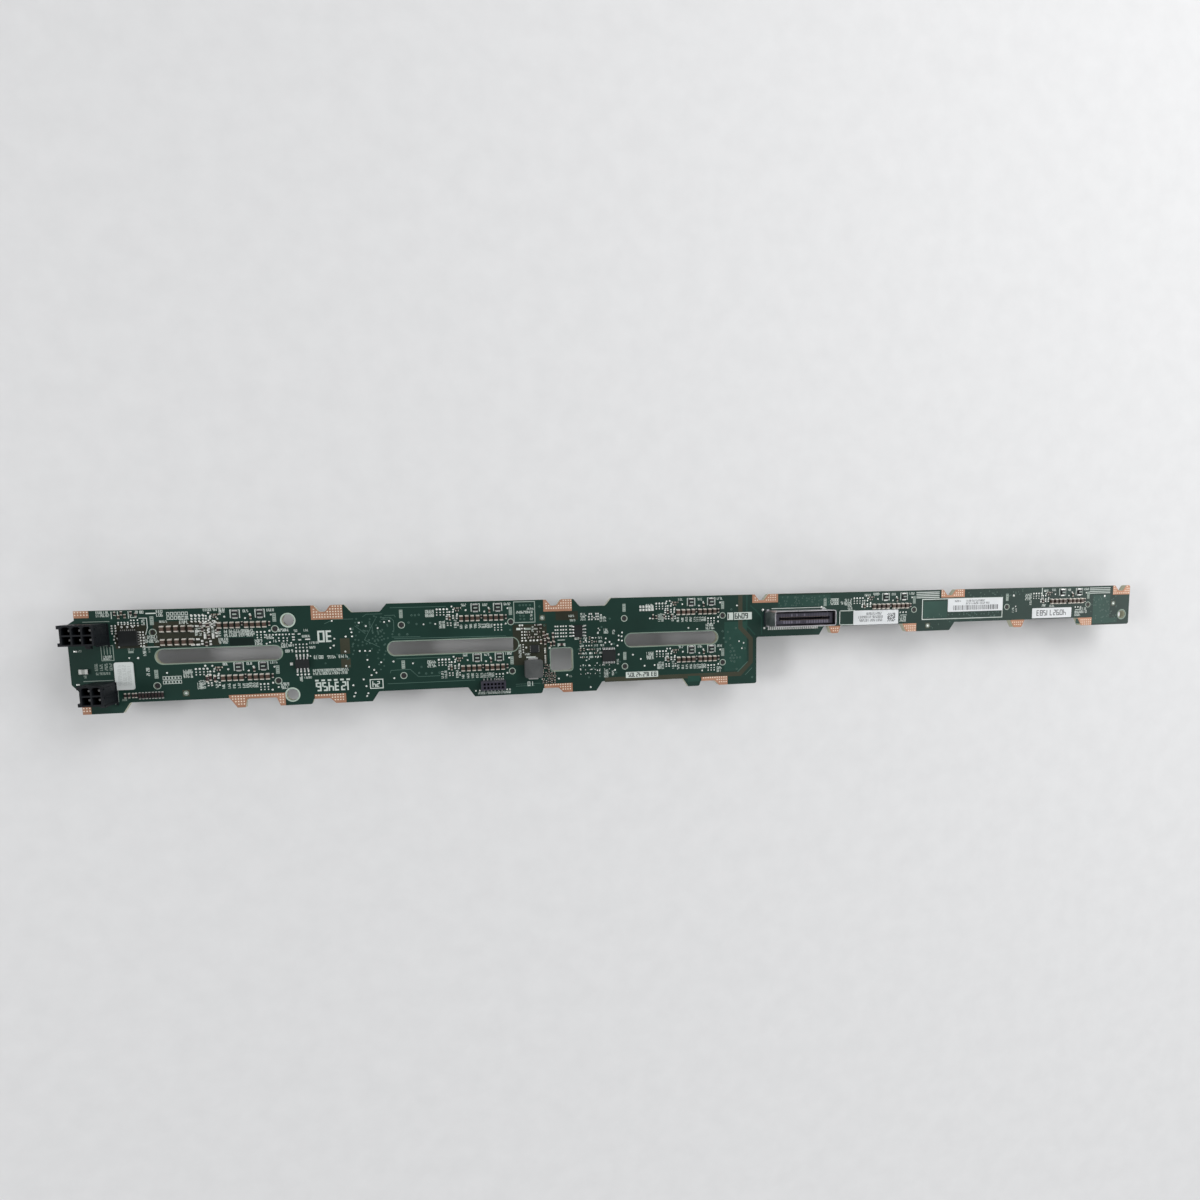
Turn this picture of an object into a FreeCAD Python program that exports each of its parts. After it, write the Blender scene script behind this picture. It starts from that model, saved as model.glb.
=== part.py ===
"""Drive backplane board of a one-unit server, lying on its drive receptacles.

A long stepped circuit board carries eight drive receptacles on its underside: three columns of two and
two columns of one. The component side, facing up, holds two power headers, a shielded data connector, a
small sideband header, a power inductor, chips, capacitors and labels. Plated copper lands line the notches
where the board grounds to its cage.

Frame: millimetres, +Z up, origin on the resting plane under the middle of the board's outline,
+X along the board towards the narrow end, +Y towards the long straight edge.
"""
import FreeCAD, Part
import math
import os

V = FreeCAD.Vector

# ---- drive bays and board -------------------------------------------------------------------------------
COLUMNS = 5                # drive columns along the board
DOUBLE_COLUMNS = 3         # columns that hold an upper and a lower drive
BAY_PITCH = 80.0           # from one drive column to the next
ROW_PITCH = 17.8           # from the upper drive to the lower one
PEG_SPACING = 38.2         # between the two locating pegs of a receptacle
LEFT_MARGIN = 25.7         # left board edge to the first peg
RIGHT_MARGIN = 20.1        # last peg to the right board edge
TOP_MARGIN = 7.6           # upper peg row to the straight edge
BOTTOM_MARGIN = 8.6        # lower peg row to the lower edge
BOARD_THICKNESS = 2.4
RECEPTACLE_HEIGHT = 9.6    # resting plane to the underside of the board

BOARD_LENGTH = LEFT_MARGIN + (COLUMNS - 1) * BAY_PITCH + PEG_SPACING + RIGHT_MARGIN
BOARD_WIDTH = TOP_MARGIN + ROW_PITCH + BOTTOM_MARGIN
LEFT = -BOARD_LENGTH / 2
RIGHT = BOARD_LENGTH / 2
TOP = BOARD_WIDTH / 2
BOTTOM = -BOARD_WIDTH / 2
UNDER = RECEPTACLE_HEIGHT
FACE = RECEPTACLE_HEIGHT + BOARD_THICKNESS
UPPER_ROW = TOP - TOP_MARGIN
LOWER_ROW = UPPER_ROW - ROW_PITCH

# ---- board outline ----------------------------------------------------------------------------------------
SHOULDER_INSET = 2.5       # the left edge steps in at both corners
UPPER_SHOULDER = (3.0, 4.6)    # where that step starts and ends, below the upper edge
LOWER_SHOULDER = (7.0, 10.0)   # the same above the lower edge
LAND_FROM_PEG = 11.9       # right peg of a bay to its upper land
LAND_LENGTH = 10.4
NOTCH_DEPTH = 2.25         # upper notch in each land
NOTCH_STEPS = (0.9, 2.7, 4.7, 6.4)   # along the land: mouth, floor, floor, mouth
LOWER_NOTCH_DEPTH = 1.8
LOWER_NOTCH_STEPS = (-0.9, -0.3, 5.2, 7.0)
LOWER_LAND_FROM_PEG = (11.5, 11.5, -8.5)   # right peg of each double bay to its lower land
TOP_RECESS = (22.9, 37.0)  # shallow recess beyond the first lands, from the right peg
TOP_RECESS_DEPTH = 2.7
BOTTOM_RECESS = (-11.0, 22.2)   # long recess under each double bay, from the left peg
BOTTOM_RECESS_DEPTH = 3.4
RECESS_SLANT = 2.3
FIRST_GAP = (27.1, 27.7, 37.3, 38.4)  # extra gap under the first bay: mouth, floor, floor, mouth
FIRST_GAP_DEPTH = 2.9
WIDE_END_MARGIN = 13.6     # last lower peg to the end of the wide part
NARROW_DEPTH = 16.2        # depth of the narrow part below the straight edge
NARROW_RECESS = 3.2        # its lower edge is set back between the tabs
NARROW_START = (-2.4, -0.4)      # where the set-back edge starts, from the fourth bay's peg
# Tabs under the narrow part, right to left: bay column, then its right corner, right foot, left foot and
# left corner from that bay's peg, and how far the foot stays above the others. The end tab has no right side.
NARROW_TABS = (
    (4, None, None, 35.3, 33.5, 0.0),
    (4, 8.4, 7.0, 3.4, 1.8, 0.2),
    (3, 56.3, 54.0, 34.9, 33.2, 0.0),
    (3, 6.6, 5.7, 2.7, 1.6, 0.4),
)
CORNER_RADIUS = 0.8

# ---- openings through the board ---------------------------------------------------------------------------
SLOT_WIDTH = 4.8
SLOT_CENTRE_DROP = 8.15    # upper peg row down to the middle of the vents
SLOT_SPANS = ((0.2, 40.0), (-5.0, 40.7), (0.2, 36.2))   # from the left peg of each double bay
WINDOW_SIZE = (8.0, 8.2)   # rounded square window beyond the second bay
WINDOW_FROM_PEG = (56.3, 14.3)   # its middle: beyond the second bay's peg, below the upper row
WINDOW_RADIUS = 1.2
GUIDE_HOLE_RADIUS = 1.95
GUIDE_HOLE_FROM_PEG = 4.3  # guide holes beyond the first bay's right peg
GUIDE_HOLE_INSET = (4.8, 3.6)    # from the upper edge, from the lower edge
END_HOLE_RADIUS = 1.6
END_HOLE_FROM_CORNER = (3.5, 12.1)   # from the right edge, from the upper edge

# ---- copper lands -------------------------------------------------------------------------------------------
COPPER = 0.07
LAND_DEPTH = (4.9, 4.3, 3.2, 3.1, 3.8)   # upper lands, column by column
LOWER_LAND_DEPTH = 3.3
FIRST_LOWER_LAND = (22.0, 40.1)
FIRST_LOWER_LAND_DEPTH = 4.4
CORNER_LANDS = ((4.5, 2.3), (2.6, 2.5))  # upper left and lower left: length, depth
NARROW_LANDS = ((3, 1.2, 6.7), (3, 33.2, 39.3), (4, 1.6, 8.5), (4, 33.5, 40.3))   # bay column, left, right

# ---- drive receptacles --------------------------------------------------------------------------------------
RECEPTACLE_END = 1.5       # peg to the end of the housing
RECEPTACLE_WIDTH = 5.6
TOWER_LENGTH = 3.8         # guide towers at both ends
TOWER_CORNER = 1.5         # bevel of a tower's two outer corners
TOWER_CHAMFER = 0.8        # lead-in round a tower's foot
BAR_DROP = 2.6             # the middle bar is shorter than the towers
SLIT_WIDTH = 2.3
SLIT_END_WALL = 1.3        # between the slit and the tower
KEY_WIDTH = 1.6            # gap between the signal and the power contacts
SIGNAL_CONTACTS = 4
POWER_CONTACTS = 7
CONTACT_PITCH = 2.3
CONTACT_WIDTH = 0.8
CONTACT_THICKNESS = 0.2
CONTACT_SETBACK = 1.0      # contact tip behind the slit's mouth
TAIL_REACH = 0.7           # solder tails beyond the housing
PEG_RADIUS = 0.75
PEG_CLEARANCE = 0.05
PEG_SHORT = 0.2            # pegs stop just below the component side

# ---- power headers ------------------------------------------------------------------------------------------
PIN_PITCH = 3.0
PIN_SIZE = 0.64
HEADER_WALL = 0.3
HEADER_HEIGHT = 11.5
CAVITY_SIZE = 2.5
CAVITY_DEPTH = 8.6
CAVITY_CHAMFER = 0.55
PIN_RECESS = 2.6           # pin tips below the mouth
TAIL_LENGTH = 1.1          # tails below the board
TAIL_HOLE_RADIUS = 0.52
LATCH = (1.6, 1.5, 2.4)    # width, reach, height of the latch ramp
LATCH_RISE = 4.6           # top of the ramp above the board
RIB = (1.1, 0.7, 8.0)      # keying ribs on the end wall: width, reach, height
LARGE_HEADER_COLUMNS = 3
LARGE_HEADER_FROM = (2.6, 4.1)   # its corner from the left and the upper edge
SMALL_HEADER_COLUMNS = 2
SMALL_HEADER_FROM = (6.6, 23.4)
LARGE_HEADER = (LARGE_HEADER_COLUMNS,) + LARGE_HEADER_FROM
SMALL_HEADER = (SMALL_HEADER_COLUMNS,) + SMALL_HEADER_FROM

# ---- data connector -----------------------------------------------------------------------------------------
DATA_SIZE = (24.5, 5.9, 10.4)    # shell length, width, height above the board
DATA_FROM_PEG = (-25.1, -1.55)   # left end and middle line, from the fourth bay's left peg
DATA_FOOT = 0.8            # plastic foot under the shell
SHELL_THICKNESS = 0.3
SHELL_RADIUS = 0.9
DATA_FLOOR = 3.4           # floor of the plug's channel above the board
DATA_CORE_DROP = 1.3       # contact core below the shell's mouth
PLUG_CHANNEL = 0.6         # open channel between the shell and the core
CARD_SLOT = (20.4, 1.3, 6.2)     # slot in the core: length, width, depth
DATA_CONTACTS = 19         # on each side of the slot
DATA_CONTACT_PITCH = 1.02
DATA_CONTACT = (0.45, 0.15, 4.8)    # width, thickness, height
LATCH_WINDOW = (1.8, 1.0, 2.6)   # length, height, top edge below the mouth
LATCH_WINDOW_INSET = 3.9   # from each end of the shell
SHELL_LEG = (1.0, 0.35, 1.6)     # width, thickness, reach up the shell
SHELL_LEG_INSET = 0.9      # leg middle from the shell's end

# ---- sideband header ----------------------------------------------------------------------------------------
SIDEBAND_COLUMNS = 6
SIDEBAND_PITCH = 1.27
SIDEBAND_WIDTH = 3.2
SIDEBAND_HEIGHT = 4.2
SIDEBAND_END = 1.2
SIDEBAND_FROM_PEG = (27.9, -4.6)    # first contact column and middle line, from the second lower peg
SIDEBAND_CHAMFER = 0.25
SIDEBAND_CAVITY = 0.75
SIDEBAND_CAVITY_DEPTH = 3.2
SIDEBAND_LEAD = (0.4, 0.7, 0.4)     # width, reach, height

# ---- inductor, chips and capacitors -------------------------------------------------------------------------
INDUCTOR_SIZE = (6.5, 6.5, 3.0)
INDUCTOR_FROM_PEG = (45.8, 0.7)     # its middle, from the second lower peg
INDUCTOR_CHAMFER = 0.5
INDUCTOR_ROUND = 0.25
INDUCTOR_TAB = (3.4, 0.75, 0.5)     # width, reach, height
CHIP_STANDOFF = 0.1
CHIP_CHAMFER = 0.12
CHIP_FOOT_SHARE = 0.7      # part of a chip's body that rests on the board
LEAD_THICKNESS = 0.16
LEAD_KNEE_SHARE = 0.4      # part of a lead's reach before it lies flat
# Large chips: name, bay column, place from its upper peg, body size,
# then the sides with leads as (side, count, pitch, lead width, reach, height).
CHIPS = (
    ("hot_swap_controller", 0, (-7.5, -1.7), (5.8, 5.0, 1.0),
     (("+Y", 8, 0.6, 0.3, 0.4, 0.0), ("+X", 6, 0.8, 0.4, 0.4, 0.0))),
    ("temperature_sensor", 0, (46.4, -12.2), (4.4, 3.0, 1.2),
     (("+Y", 4, 1.1, 0.42, 1.0, 0.5), ("-Y", 4, 1.1, 0.42, 1.0, 0.5))),
    ("memory_chip", 1, (62.6, -4.1), (3.0, 4.4, 1.3),
     (("+X", 4, 1.1, 0.42, 1.0, 0.6), ("-X", 4, 1.1, 0.42, 1.0, 0.6))),
    ("logic_chip", 2, (-6.1, -13.5), (4.8, 4.4, 1.0),
     (("+Y", 8, 0.6, 0.28, 0.8, 0.45), ("-Y", 8, 0.6, 0.28, 0.8, 0.45))),
    ("regulator_chip", 1, (46.5, -10.0), (2.8, 2.8, 0.8),
     (("+X", 4, 0.6, 0.3, 0.3, 0.0), ("-X", 4, 0.6, 0.3, 0.3, 0.0))),
)
CAP_SIZE = (1.25, 2.0, 0.95)
BAY_CAP_COLUMNS = (20.7, 22.7, 24.6, 26.5, 29.2, 31.1, 33.0, 34.9)   # from the left peg
BAY_CAP_RISE = 1.7         # row middle above the peg row
BULK_CAP_COLUMNS = 5
BULK_CAP_FIRST = 2.8       # first column from the first peg
BULK_CAP_PITCH = 2.2
BULK_CAP_ROWS = (1.0, -3.4)
FUSE_SIZE = (2.6, 1.5, 0.7)
FUSE_FROM_PEG = (-21.6, -12.2)
RESISTOR_SIZE = (0.6, 1.8, 0.45)
RESISTOR_COUNT = 8
RESISTOR_PITCH = 1.0
RESISTOR_FROM_PEG = (-5.6, -3.1)    # first one, from the first lower peg
SWITCH_BODY = (1.9, 1.9, 0.8)
SWITCH_COLUMNS = (25.8, 33.7)
SWITCH_RISE = 5.3
SWITCH_CHAMFER = 0.15
SWITCH_LEAD = (0.35, 0.2)  # reach at both ends and thickness of the lead plate under the body

# ---- labels: name, bay column, left, right, low and high from its upper peg, thickness, corner radius ------------
LABELS = (
    ("white_pad", 0, -12.5, -6.7, -18.7, -9.5, 0.5, 0.7),
    ("code_label", 3, 12.0, 31.3, -5.3, 0.3, 0.12, 0.3),
    ("barcode_label", 4, -26.9, -2.1, -1.3, 3.9, 0.12, 0.3),
    ("number_label", 4, 11.8, 30.3, -5.0, -0.9, 0.12, 0.3),
)


EDGE_FIND = 0.01           # edges this close to a face's level belong to it


# ---- helpers ------------------------------------------------------------------------------------------------
def bay_peg(column, row=0):
    """Left locating peg of a drive bay."""
    return LEFT + LEFT_MARGIN + column * BAY_PITCH, UPPER_ROW - row * ROW_PITCH


def right_peg(column):
    """Place of a bay's right locating peg along the board."""
    return bay_peg(column)[0] + PEG_SPACING


def bays():
    """Every drive bay as (number, column, row), the upper row first."""
    upper = [(column, 0) for column in range(COLUMNS)]
    lower = [(column, 1) for column in range(DOUBLE_COLUMNS)]
    return [(number + 1, column, row) for number, (column, row) in enumerate(upper + lower)]


def block(x0, x1, y0, y1, z0, z1):
    return Part.makeBox(x1 - x0, y1 - y0, z1 - z0, V(x0, y0, z0))


def centred_block(x, y, length, width, z0, z1):
    return block(x - length / 2, x + length / 2, y - width / 2, y + width / 2, z0, z1)


def rounded_wire(points, z):
    """Closed wire through (x, y, radius) corners; a radius of 0 keeps the corner sharp."""
    corners = []
    count = len(points)
    for i, (x, y, radius) in enumerate(points):
        here = V(x, y, z)
        before = V(points[i - 1][0], points[i - 1][1], z) - here
        after = V(points[(i + 1) % count][0], points[(i + 1) % count][1], z) - here
        room = 0.45 * min(before.Length, after.Length)
        before.normalize()
        after.normalize()
        half = before.getAngle(after) / 2
        if radius <= 0 or abs(half - math.pi / 2) < 1e-6:
            corners.append((here, here, None))
            continue
        run = min(radius / math.tan(half), room)
        radius = run * math.tan(half)
        centre = here + (before + after).normalize() * (radius / math.sin(half))
        middle = centre + (here - centre).normalize() * radius
        corners.append((here + before * run, here + after * run, middle))
    edges = []
    for i, (start, end, middle) in enumerate(corners):
        if middle is not None:
            edges.append(Part.Arc(start, middle, end).toShape())
        edges.append(Part.LineSegment(end, corners[(i + 1) % count][0]).toShape())
    return Part.Wire(edges)


def prism(points, z0, z1):
    return Part.Face(rounded_wire(points, z0)).extrude(V(0, 0, z1 - z0))


def rectangle(x0, x1, y0, y1, radius=0.0):
    return [(x0, y0, radius), (x1, y0, radius), (x1, y1, radius), (x0, y1, radius)]


def drill(x, y, radius, z0, z1):
    return Part.makeCylinder(radius, z1 - z0, V(x, y, z0))


def top_edges(solid):
    """Edges round the solid's top face."""
    return [e for e in solid.Edges if e.BoundBox.ZMin > solid.BoundBox.ZMax - EDGE_FIND]


def upright_edges(solid):
    return [e for e in solid.Edges if e.BoundBox.ZLength > EDGE_FIND]


def save(name, shapes):
    shape = shapes[0] if len(shapes) == 1 else Part.makeCompound(shapes)
    shape.exportStep("parts/%s.step" % name)


# ---- the board ----------------------------------------------------------------------------------------------
def upper_edge():
    """Corners along the straight upper edge, left to right."""
    points = [(LEFT + SHOULDER_INSET, TOP, 0)]
    for column in range(COLUMNS):
        peg = right_peg(column)
        land = peg + LAND_FROM_PEG
        mouth, floor, floor_end, mouth_end = [land + step for step in NOTCH_STEPS]
        low = TOP - NOTCH_DEPTH
        points += [(mouth, TOP, 0), (floor, low, CORNER_RADIUS), (floor_end, low, CORNER_RADIUS)]
        points.append((mouth_end, TOP, CORNER_RADIUS))
        if column < DOUBLE_COLUMNS - 1:
            start, end = peg + TOP_RECESS[0], peg + TOP_RECESS[1]
            low = TOP - TOP_RECESS_DEPTH
            points += [(start, TOP, 0), (start + RECESS_SLANT, low, CORNER_RADIUS)]
            points += [(end - RECESS_SLANT, low, CORNER_RADIUS), (end, TOP, 0)]
    points.append((RIGHT, TOP, CORNER_RADIUS))
    return points


def narrow_edge():
    """Corners under the narrow part, right to left: tabs that stand below its set-back edge."""
    low = TOP - NARROW_DEPTH
    high = low + NARROW_RECESS
    points = [(RIGHT, low, CORNER_RADIUS)]
    for column, right, right_foot, left_foot, left, rise in NARROW_TABS:
        peg = bay_peg(column)[0]
        if right is not None:
            points += [(peg + right, high, 0), (peg + right_foot, low + rise, CORNER_RADIUS)]
        points += [(peg + left_foot, low + rise, CORNER_RADIUS), (peg + left, high, 0)]
    fourth = bay_peg(COLUMNS - 2)[0]
    points += [(fourth + NARROW_START[1], high, 0), (fourth + NARROW_START[0], low, 0)]
    return points


def wide_edge():
    """Corners along the lower edge of the wide part, right to left."""
    end = right_peg(DOUBLE_COLUMNS - 1) + WIDE_END_MARGIN
    points = [(end, TOP - NARROW_DEPTH, CORNER_RADIUS), (end, BOTTOM, CORNER_RADIUS)]
    for column in reversed(range(DOUBLE_COLUMNS)):
        peg = bay_peg(column)[0]
        mouth, floor, floor_end, mouth_end = [lower_land(column) + step for step in LOWER_NOTCH_STEPS]
        low = BOTTOM + LOWER_NOTCH_DEPTH
        points += [(mouth_end, BOTTOM, 0), (floor_end, low, CORNER_RADIUS)]
        points += [(floor, low, 0), (mouth, BOTTOM, CORNER_RADIUS)]
        if column == 0:
            mouth, floor, floor_end, mouth_end = [peg + step for step in FIRST_GAP]
            low = BOTTOM + FIRST_GAP_DEPTH
            points += [(mouth_end, BOTTOM, 0), (floor_end, low, CORNER_RADIUS)]
            points += [(floor, low, CORNER_RADIUS), (mouth, BOTTOM, 0)]
        start, stop = peg + BOTTOM_RECESS[0], peg + BOTTOM_RECESS[1]
        low = BOTTOM + BOTTOM_RECESS_DEPTH
        points += [(stop + RECESS_SLANT, BOTTOM, 0), (stop, low, CORNER_RADIUS)]
        points += [(start + RECESS_SLANT, low, CORNER_RADIUS), (start, BOTTOM, 0)]
    return points


def left_edge():
    """Corners up the left edge, which steps in at both ends."""
    inner = LEFT + SHOULDER_INSET
    return [(inner, BOTTOM, 0), (inner, BOTTOM + LOWER_SHOULDER[0], 0),
            (LEFT, BOTTOM + LOWER_SHOULDER[1], CORNER_RADIUS), (LEFT, TOP - UPPER_SHOULDER[1], CORNER_RADIUS),
            (inner, TOP - UPPER_SHOULDER[0], 0)]


def outline():
    return upper_edge() + narrow_edge() + wide_edge() + left_edge()


def lower_land(column):
    """Left end of the land on the lower edge of a double bay."""
    return right_peg(column) + LOWER_LAND_FROM_PEG[column]


def guide_holes():
    x = right_peg(0) + GUIDE_HOLE_FROM_PEG
    return [(x, TOP - GUIDE_HOLE_INSET[0]), (x, BOTTOM + GUIDE_HOLE_INSET[1])]


def stadium(x0, x1, y, width, z0, z1):
    """A slot with round ends between x0 and x1."""
    r = width / 2
    low0, low1 = V(x0 + r, y - r, z0), V(x1 - r, y - r, z0)
    high0, high1 = V(x0 + r, y + r, z0), V(x1 - r, y + r, z0)
    edges = [Part.LineSegment(low0, low1).toShape(), Part.Arc(low1, V(x1, y, z0), high1).toShape(),
             Part.LineSegment(high1, high0).toShape(), Part.Arc(high0, V(x0, y, z0), low0).toShape()]
    return Part.Face(Part.Wire(edges)).extrude(V(0, 0, z1 - z0))


def through(x, y, radius):
    return drill(x, y, radius, UNDER, FACE)


def board():
    body = prism(outline(), UNDER, FACE)
    cuts = []
    for column, (start, end) in enumerate(SLOT_SPANS):
        peg, row = bay_peg(column)
        cuts.append(stadium(peg + start, peg + end, row - SLOT_CENTRE_DROP, SLOT_WIDTH, UNDER, FACE))
    x, y = bay_peg(1)[0] + WINDOW_FROM_PEG[0], UPPER_ROW - WINDOW_FROM_PEG[1]
    half_x, half_y = WINDOW_SIZE[0] / 2, WINDOW_SIZE[1] / 2
    cuts.append(prism(rectangle(x - half_x, x + half_x, y - half_y, y + half_y, WINDOW_RADIUS), UNDER, FACE))
    cuts += [through(x, y, GUIDE_HOLE_RADIUS) for x, y in guide_holes()]
    cuts.append(through(RIGHT - END_HOLE_FROM_CORNER[0], TOP - END_HOLE_FROM_CORNER[1], END_HOLE_RADIUS))
    for _, column, row in bays():
        x, y = bay_peg(column, row)
        cuts += [through(peg, y, PEG_RADIUS + PEG_CLEARANCE) for peg in (x, x + PEG_SPACING)]
    for header in (LARGE_HEADER, SMALL_HEADER):
        cuts += [through(x, y, TAIL_HOLE_RADIUS) for x, y in header_pins(header)]
    return body.cut(cuts)


def lands():
    """Plated ground lands on the component side, cut to the board's outline."""
    areas = []
    for column, depth in enumerate(LAND_DEPTH):
        x = right_peg(column) + LAND_FROM_PEG
        areas.append((x, x + LAND_LENGTH, TOP - depth, TOP))
    for column in range(DOUBLE_COLUMNS):
        x = lower_land(column)
        areas.append((x, x + LAND_LENGTH, BOTTOM, BOTTOM + LOWER_LAND_DEPTH))
    peg = bay_peg(0)[0]
    start, end = FIRST_LOWER_LAND
    areas.append((peg + start, peg + end, BOTTOM, BOTTOM + FIRST_LOWER_LAND_DEPTH))
    inner = LEFT + SHOULDER_INSET
    (upper_length, upper_depth), (lower_length, lower_depth) = CORNER_LANDS
    areas.append((inner, inner + upper_length, TOP - upper_depth, TOP))
    areas.append((inner, inner + lower_length, BOTTOM, BOTTOM + lower_depth))
    low = TOP - NARROW_DEPTH
    for column, start, end in NARROW_LANDS:
        peg = bay_peg(column)[0]
        areas.append((peg + start, peg + end, low, low + NARROW_RECESS))
    sheet = prism(outline(), FACE, FACE + COPPER)
    return [sheet.common(block(x0, x1, y0, y1, FACE, FACE + COPPER)) for x0, x1, y0, y1 in areas]


# ---- drive receptacles ----------------------------------------------------------------------------------------
def contact_places():
    """Contacts of one receptacle side, from its middle: signals, the key gap, then power."""
    span = (SIGNAL_CONTACTS + POWER_CONTACTS - 1) * CONTACT_PITCH + KEY_WIDTH
    places = [-span / 2 + i * CONTACT_PITCH for i in range(SIGNAL_CONTACTS)]
    first_power = -span / 2 + SIGNAL_CONTACTS * CONTACT_PITCH + KEY_WIDTH
    return places + [first_power + i * CONTACT_PITCH for i in range(POWER_CONTACTS)]


def receptacle_housing(column, row):
    x, y = bay_peg(column, row)
    start, end = x - RECEPTACLE_END, x + PEG_SPACING + RECEPTACLE_END
    half = RECEPTACLE_WIDTH / 2
    tail_top = UNDER - CONTACT_THICKNESS
    bar = block(start + TOWER_CORNER, end - TOWER_CORNER, y - half, y + half, BAR_DROP, tail_top)
    pieces = []
    for tower_start, outer in ((start, start), (end - TOWER_LENGTH, end)):
        tower = block(tower_start, tower_start + TOWER_LENGTH, y - half, y + half, 0, UNDER)
        corners = [e for e in upright_edges(tower) if abs(e.BoundBox.Center.x - outer) < EDGE_FIND]
        tower = tower.makeChamfer(TOWER_CORNER, corners)
        rim = [e for e in tower.Edges if e.BoundBox.ZMax < EDGE_FIND]
        pieces.append(tower.makeChamfer(TOWER_CHAMFER, rim))
    for peg in (x, x + PEG_SPACING):
        pieces.append(drill(peg, y, PEG_RADIUS, UNDER - TOWER_CHAMFER, FACE - PEG_SHORT))
    body = bar.fuse(pieces).removeSplitter()
    slit_start, slit_end = start + TOWER_LENGTH + SLIT_END_WALL, end - TOWER_LENGTH - SLIT_END_WALL
    slit = block(slit_start, slit_end, y - SLIT_WIDTH / 2, y + SLIT_WIDTH / 2, 0, UNDER)
    places = contact_places()
    key = (places[SIGNAL_CONTACTS - 1] + places[SIGNAL_CONTACTS]) / 2 + x + PEG_SPACING / 2
    bridge = centred_block(key, y, KEY_WIDTH, SLIT_WIDTH, BAR_DROP + CONTACT_SETBACK, tail_top)
    return body.cut(slit).fuse(bridge).removeSplitter()


def receptacle_contacts(column, row):
    x, y = bay_peg(column, row)
    inner = SLIT_WIDTH / 2
    tip = BAR_DROP + CONTACT_SETBACK
    reach = RECEPTACLE_WIDTH / 2 + TAIL_REACH
    shapes = []
    for place in contact_places():
        start = x + PEG_SPACING / 2 + place - CONTACT_WIDTH / 2
        for side in (-1, 1):
            profile = [(inner - CONTACT_THICKNESS, tip), (inner, tip), (inner, UNDER - CONTACT_THICKNESS),
                       (reach, UNDER - CONTACT_THICKNESS), (reach, UNDER), (inner - CONTACT_THICKNESS, UNDER)]
            corners = [V(start, y + side * across, up) for across, up in profile]
            face = Part.Face(Part.makePolygon(corners + corners[:1]))
            shapes.append(face.extrude(V(CONTACT_WIDTH, 0, 0)))
    return shapes


# ---- power headers --------------------------------------------------------------------------------------------
def header_pins(header):
    """Pin centres of a two-row power header."""
    columns, from_left, from_top = header
    x = LEFT + from_left + HEADER_WALL + PIN_PITCH / 2
    y = TOP - from_top - HEADER_WALL - PIN_PITCH / 2
    return [(x + i * PIN_PITCH, y - j * PIN_PITCH) for j in range(2) for i in range(columns)]


def header_housing(header):
    columns, from_left, from_top = header
    x0, y1 = LEFT + from_left, TOP - from_top
    x1 = x0 + columns * PIN_PITCH + 2 * HEADER_WALL
    y0 = y1 - 2 * PIN_PITCH - 2 * HEADER_WALL
    mouth = FACE + HEADER_HEIGHT
    body = block(x0, x1, y0, y1, FACE, mouth)
    middle = (x0 + x1) / 2
    width, reach, height = LATCH
    ramp_top = FACE + LATCH_RISE
    ramp = [(y0, ramp_top), (y0 - reach, ramp_top - height / 2),
            (y0 - reach, ramp_top - height), (y0, ramp_top - height)]
    corners = [V(middle - width / 2, y, z) for y, z in ramp]
    latch = Part.Face(Part.makePolygon(corners + corners[:1])).extrude(V(width, 0, 0))
    rib_width, rib_reach, rib_height = RIB
    ribs = [block(x0 - rib_reach, x0, y, y + rib_width, mouth - rib_height, mouth)
            for y in (y0, y1 - rib_width)]
    body = body.fuse([latch] + ribs)
    cuts = []
    half = CAVITY_SIZE / 2
    for number, (x, y) in enumerate(header_pins(header)):
        corner = CAVITY_CHAMFER if number < columns else 0
        cavity = block(x - half, x + half, y - half, y + half, mouth - CAVITY_DEPTH, mouth)
        if corner:
            cavity = cavity.makeChamfer(corner, [e for e in upright_edges(cavity) if e.BoundBox.YMin > y])
        cuts.append(cavity)
        cuts.append(centred_block(x, y, PIN_SIZE, PIN_SIZE, FACE, mouth))
    return body.cut(cuts)


def pins_of(header):
    tip = FACE + HEADER_HEIGHT - PIN_RECESS
    return [centred_block(x, y, PIN_SIZE, PIN_SIZE, UNDER - TAIL_LENGTH, tip) for x, y in header_pins(header)]


# ---- data connector -------------------------------------------------------------------------------------------
def data_middle():
    """Middle of the data connector on the board."""
    x, y = bay_peg(COLUMNS - 2)
    return x + DATA_FROM_PEG[0] + DATA_SIZE[0] / 2, y + DATA_FROM_PEG[1]


def shell_legs():
    x, y = data_middle()
    along = DATA_SIZE[0] / 2 - SHELL_LEG_INSET
    across = (DATA_SIZE[1] + SHELL_LEG[1]) / 2
    return [(x + end * along, y + side * across) for end in (-1, 1) for side in (-1, 1)]


def rounded_block(x, y, length, width, radius, z0, z1):
    return prism(rectangle(x - length / 2, x + length / 2, y - width / 2, y + width / 2, radius), z0, z1)


def data_shell():
    x, y = data_middle()
    length, width, height = DATA_SIZE
    base, mouth, t = FACE + DATA_FOOT, FACE + height, SHELL_THICKNESS
    outer = rounded_block(x, y, length, width, SHELL_RADIUS, base, mouth)
    inner = rounded_block(x, y, length - 2 * t, width - 2 * t, SHELL_RADIUS - t, base, mouth)
    window_length, window_height, window_drop = LATCH_WINDOW
    top = mouth - window_drop
    windows = [centred_block(x + end * (length / 2 - LATCH_WINDOW_INSET), y, window_length, width,
                             top - window_height, top) for end in (-1, 1)]
    leg_width, leg_thickness, leg_reach = SHELL_LEG
    legs = [centred_block(px, py, leg_width, leg_thickness, FACE, FACE + leg_reach)
            for px, py in shell_legs()]
    return outer.cut([inner] + windows).fuse(legs).removeSplitter()


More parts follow.
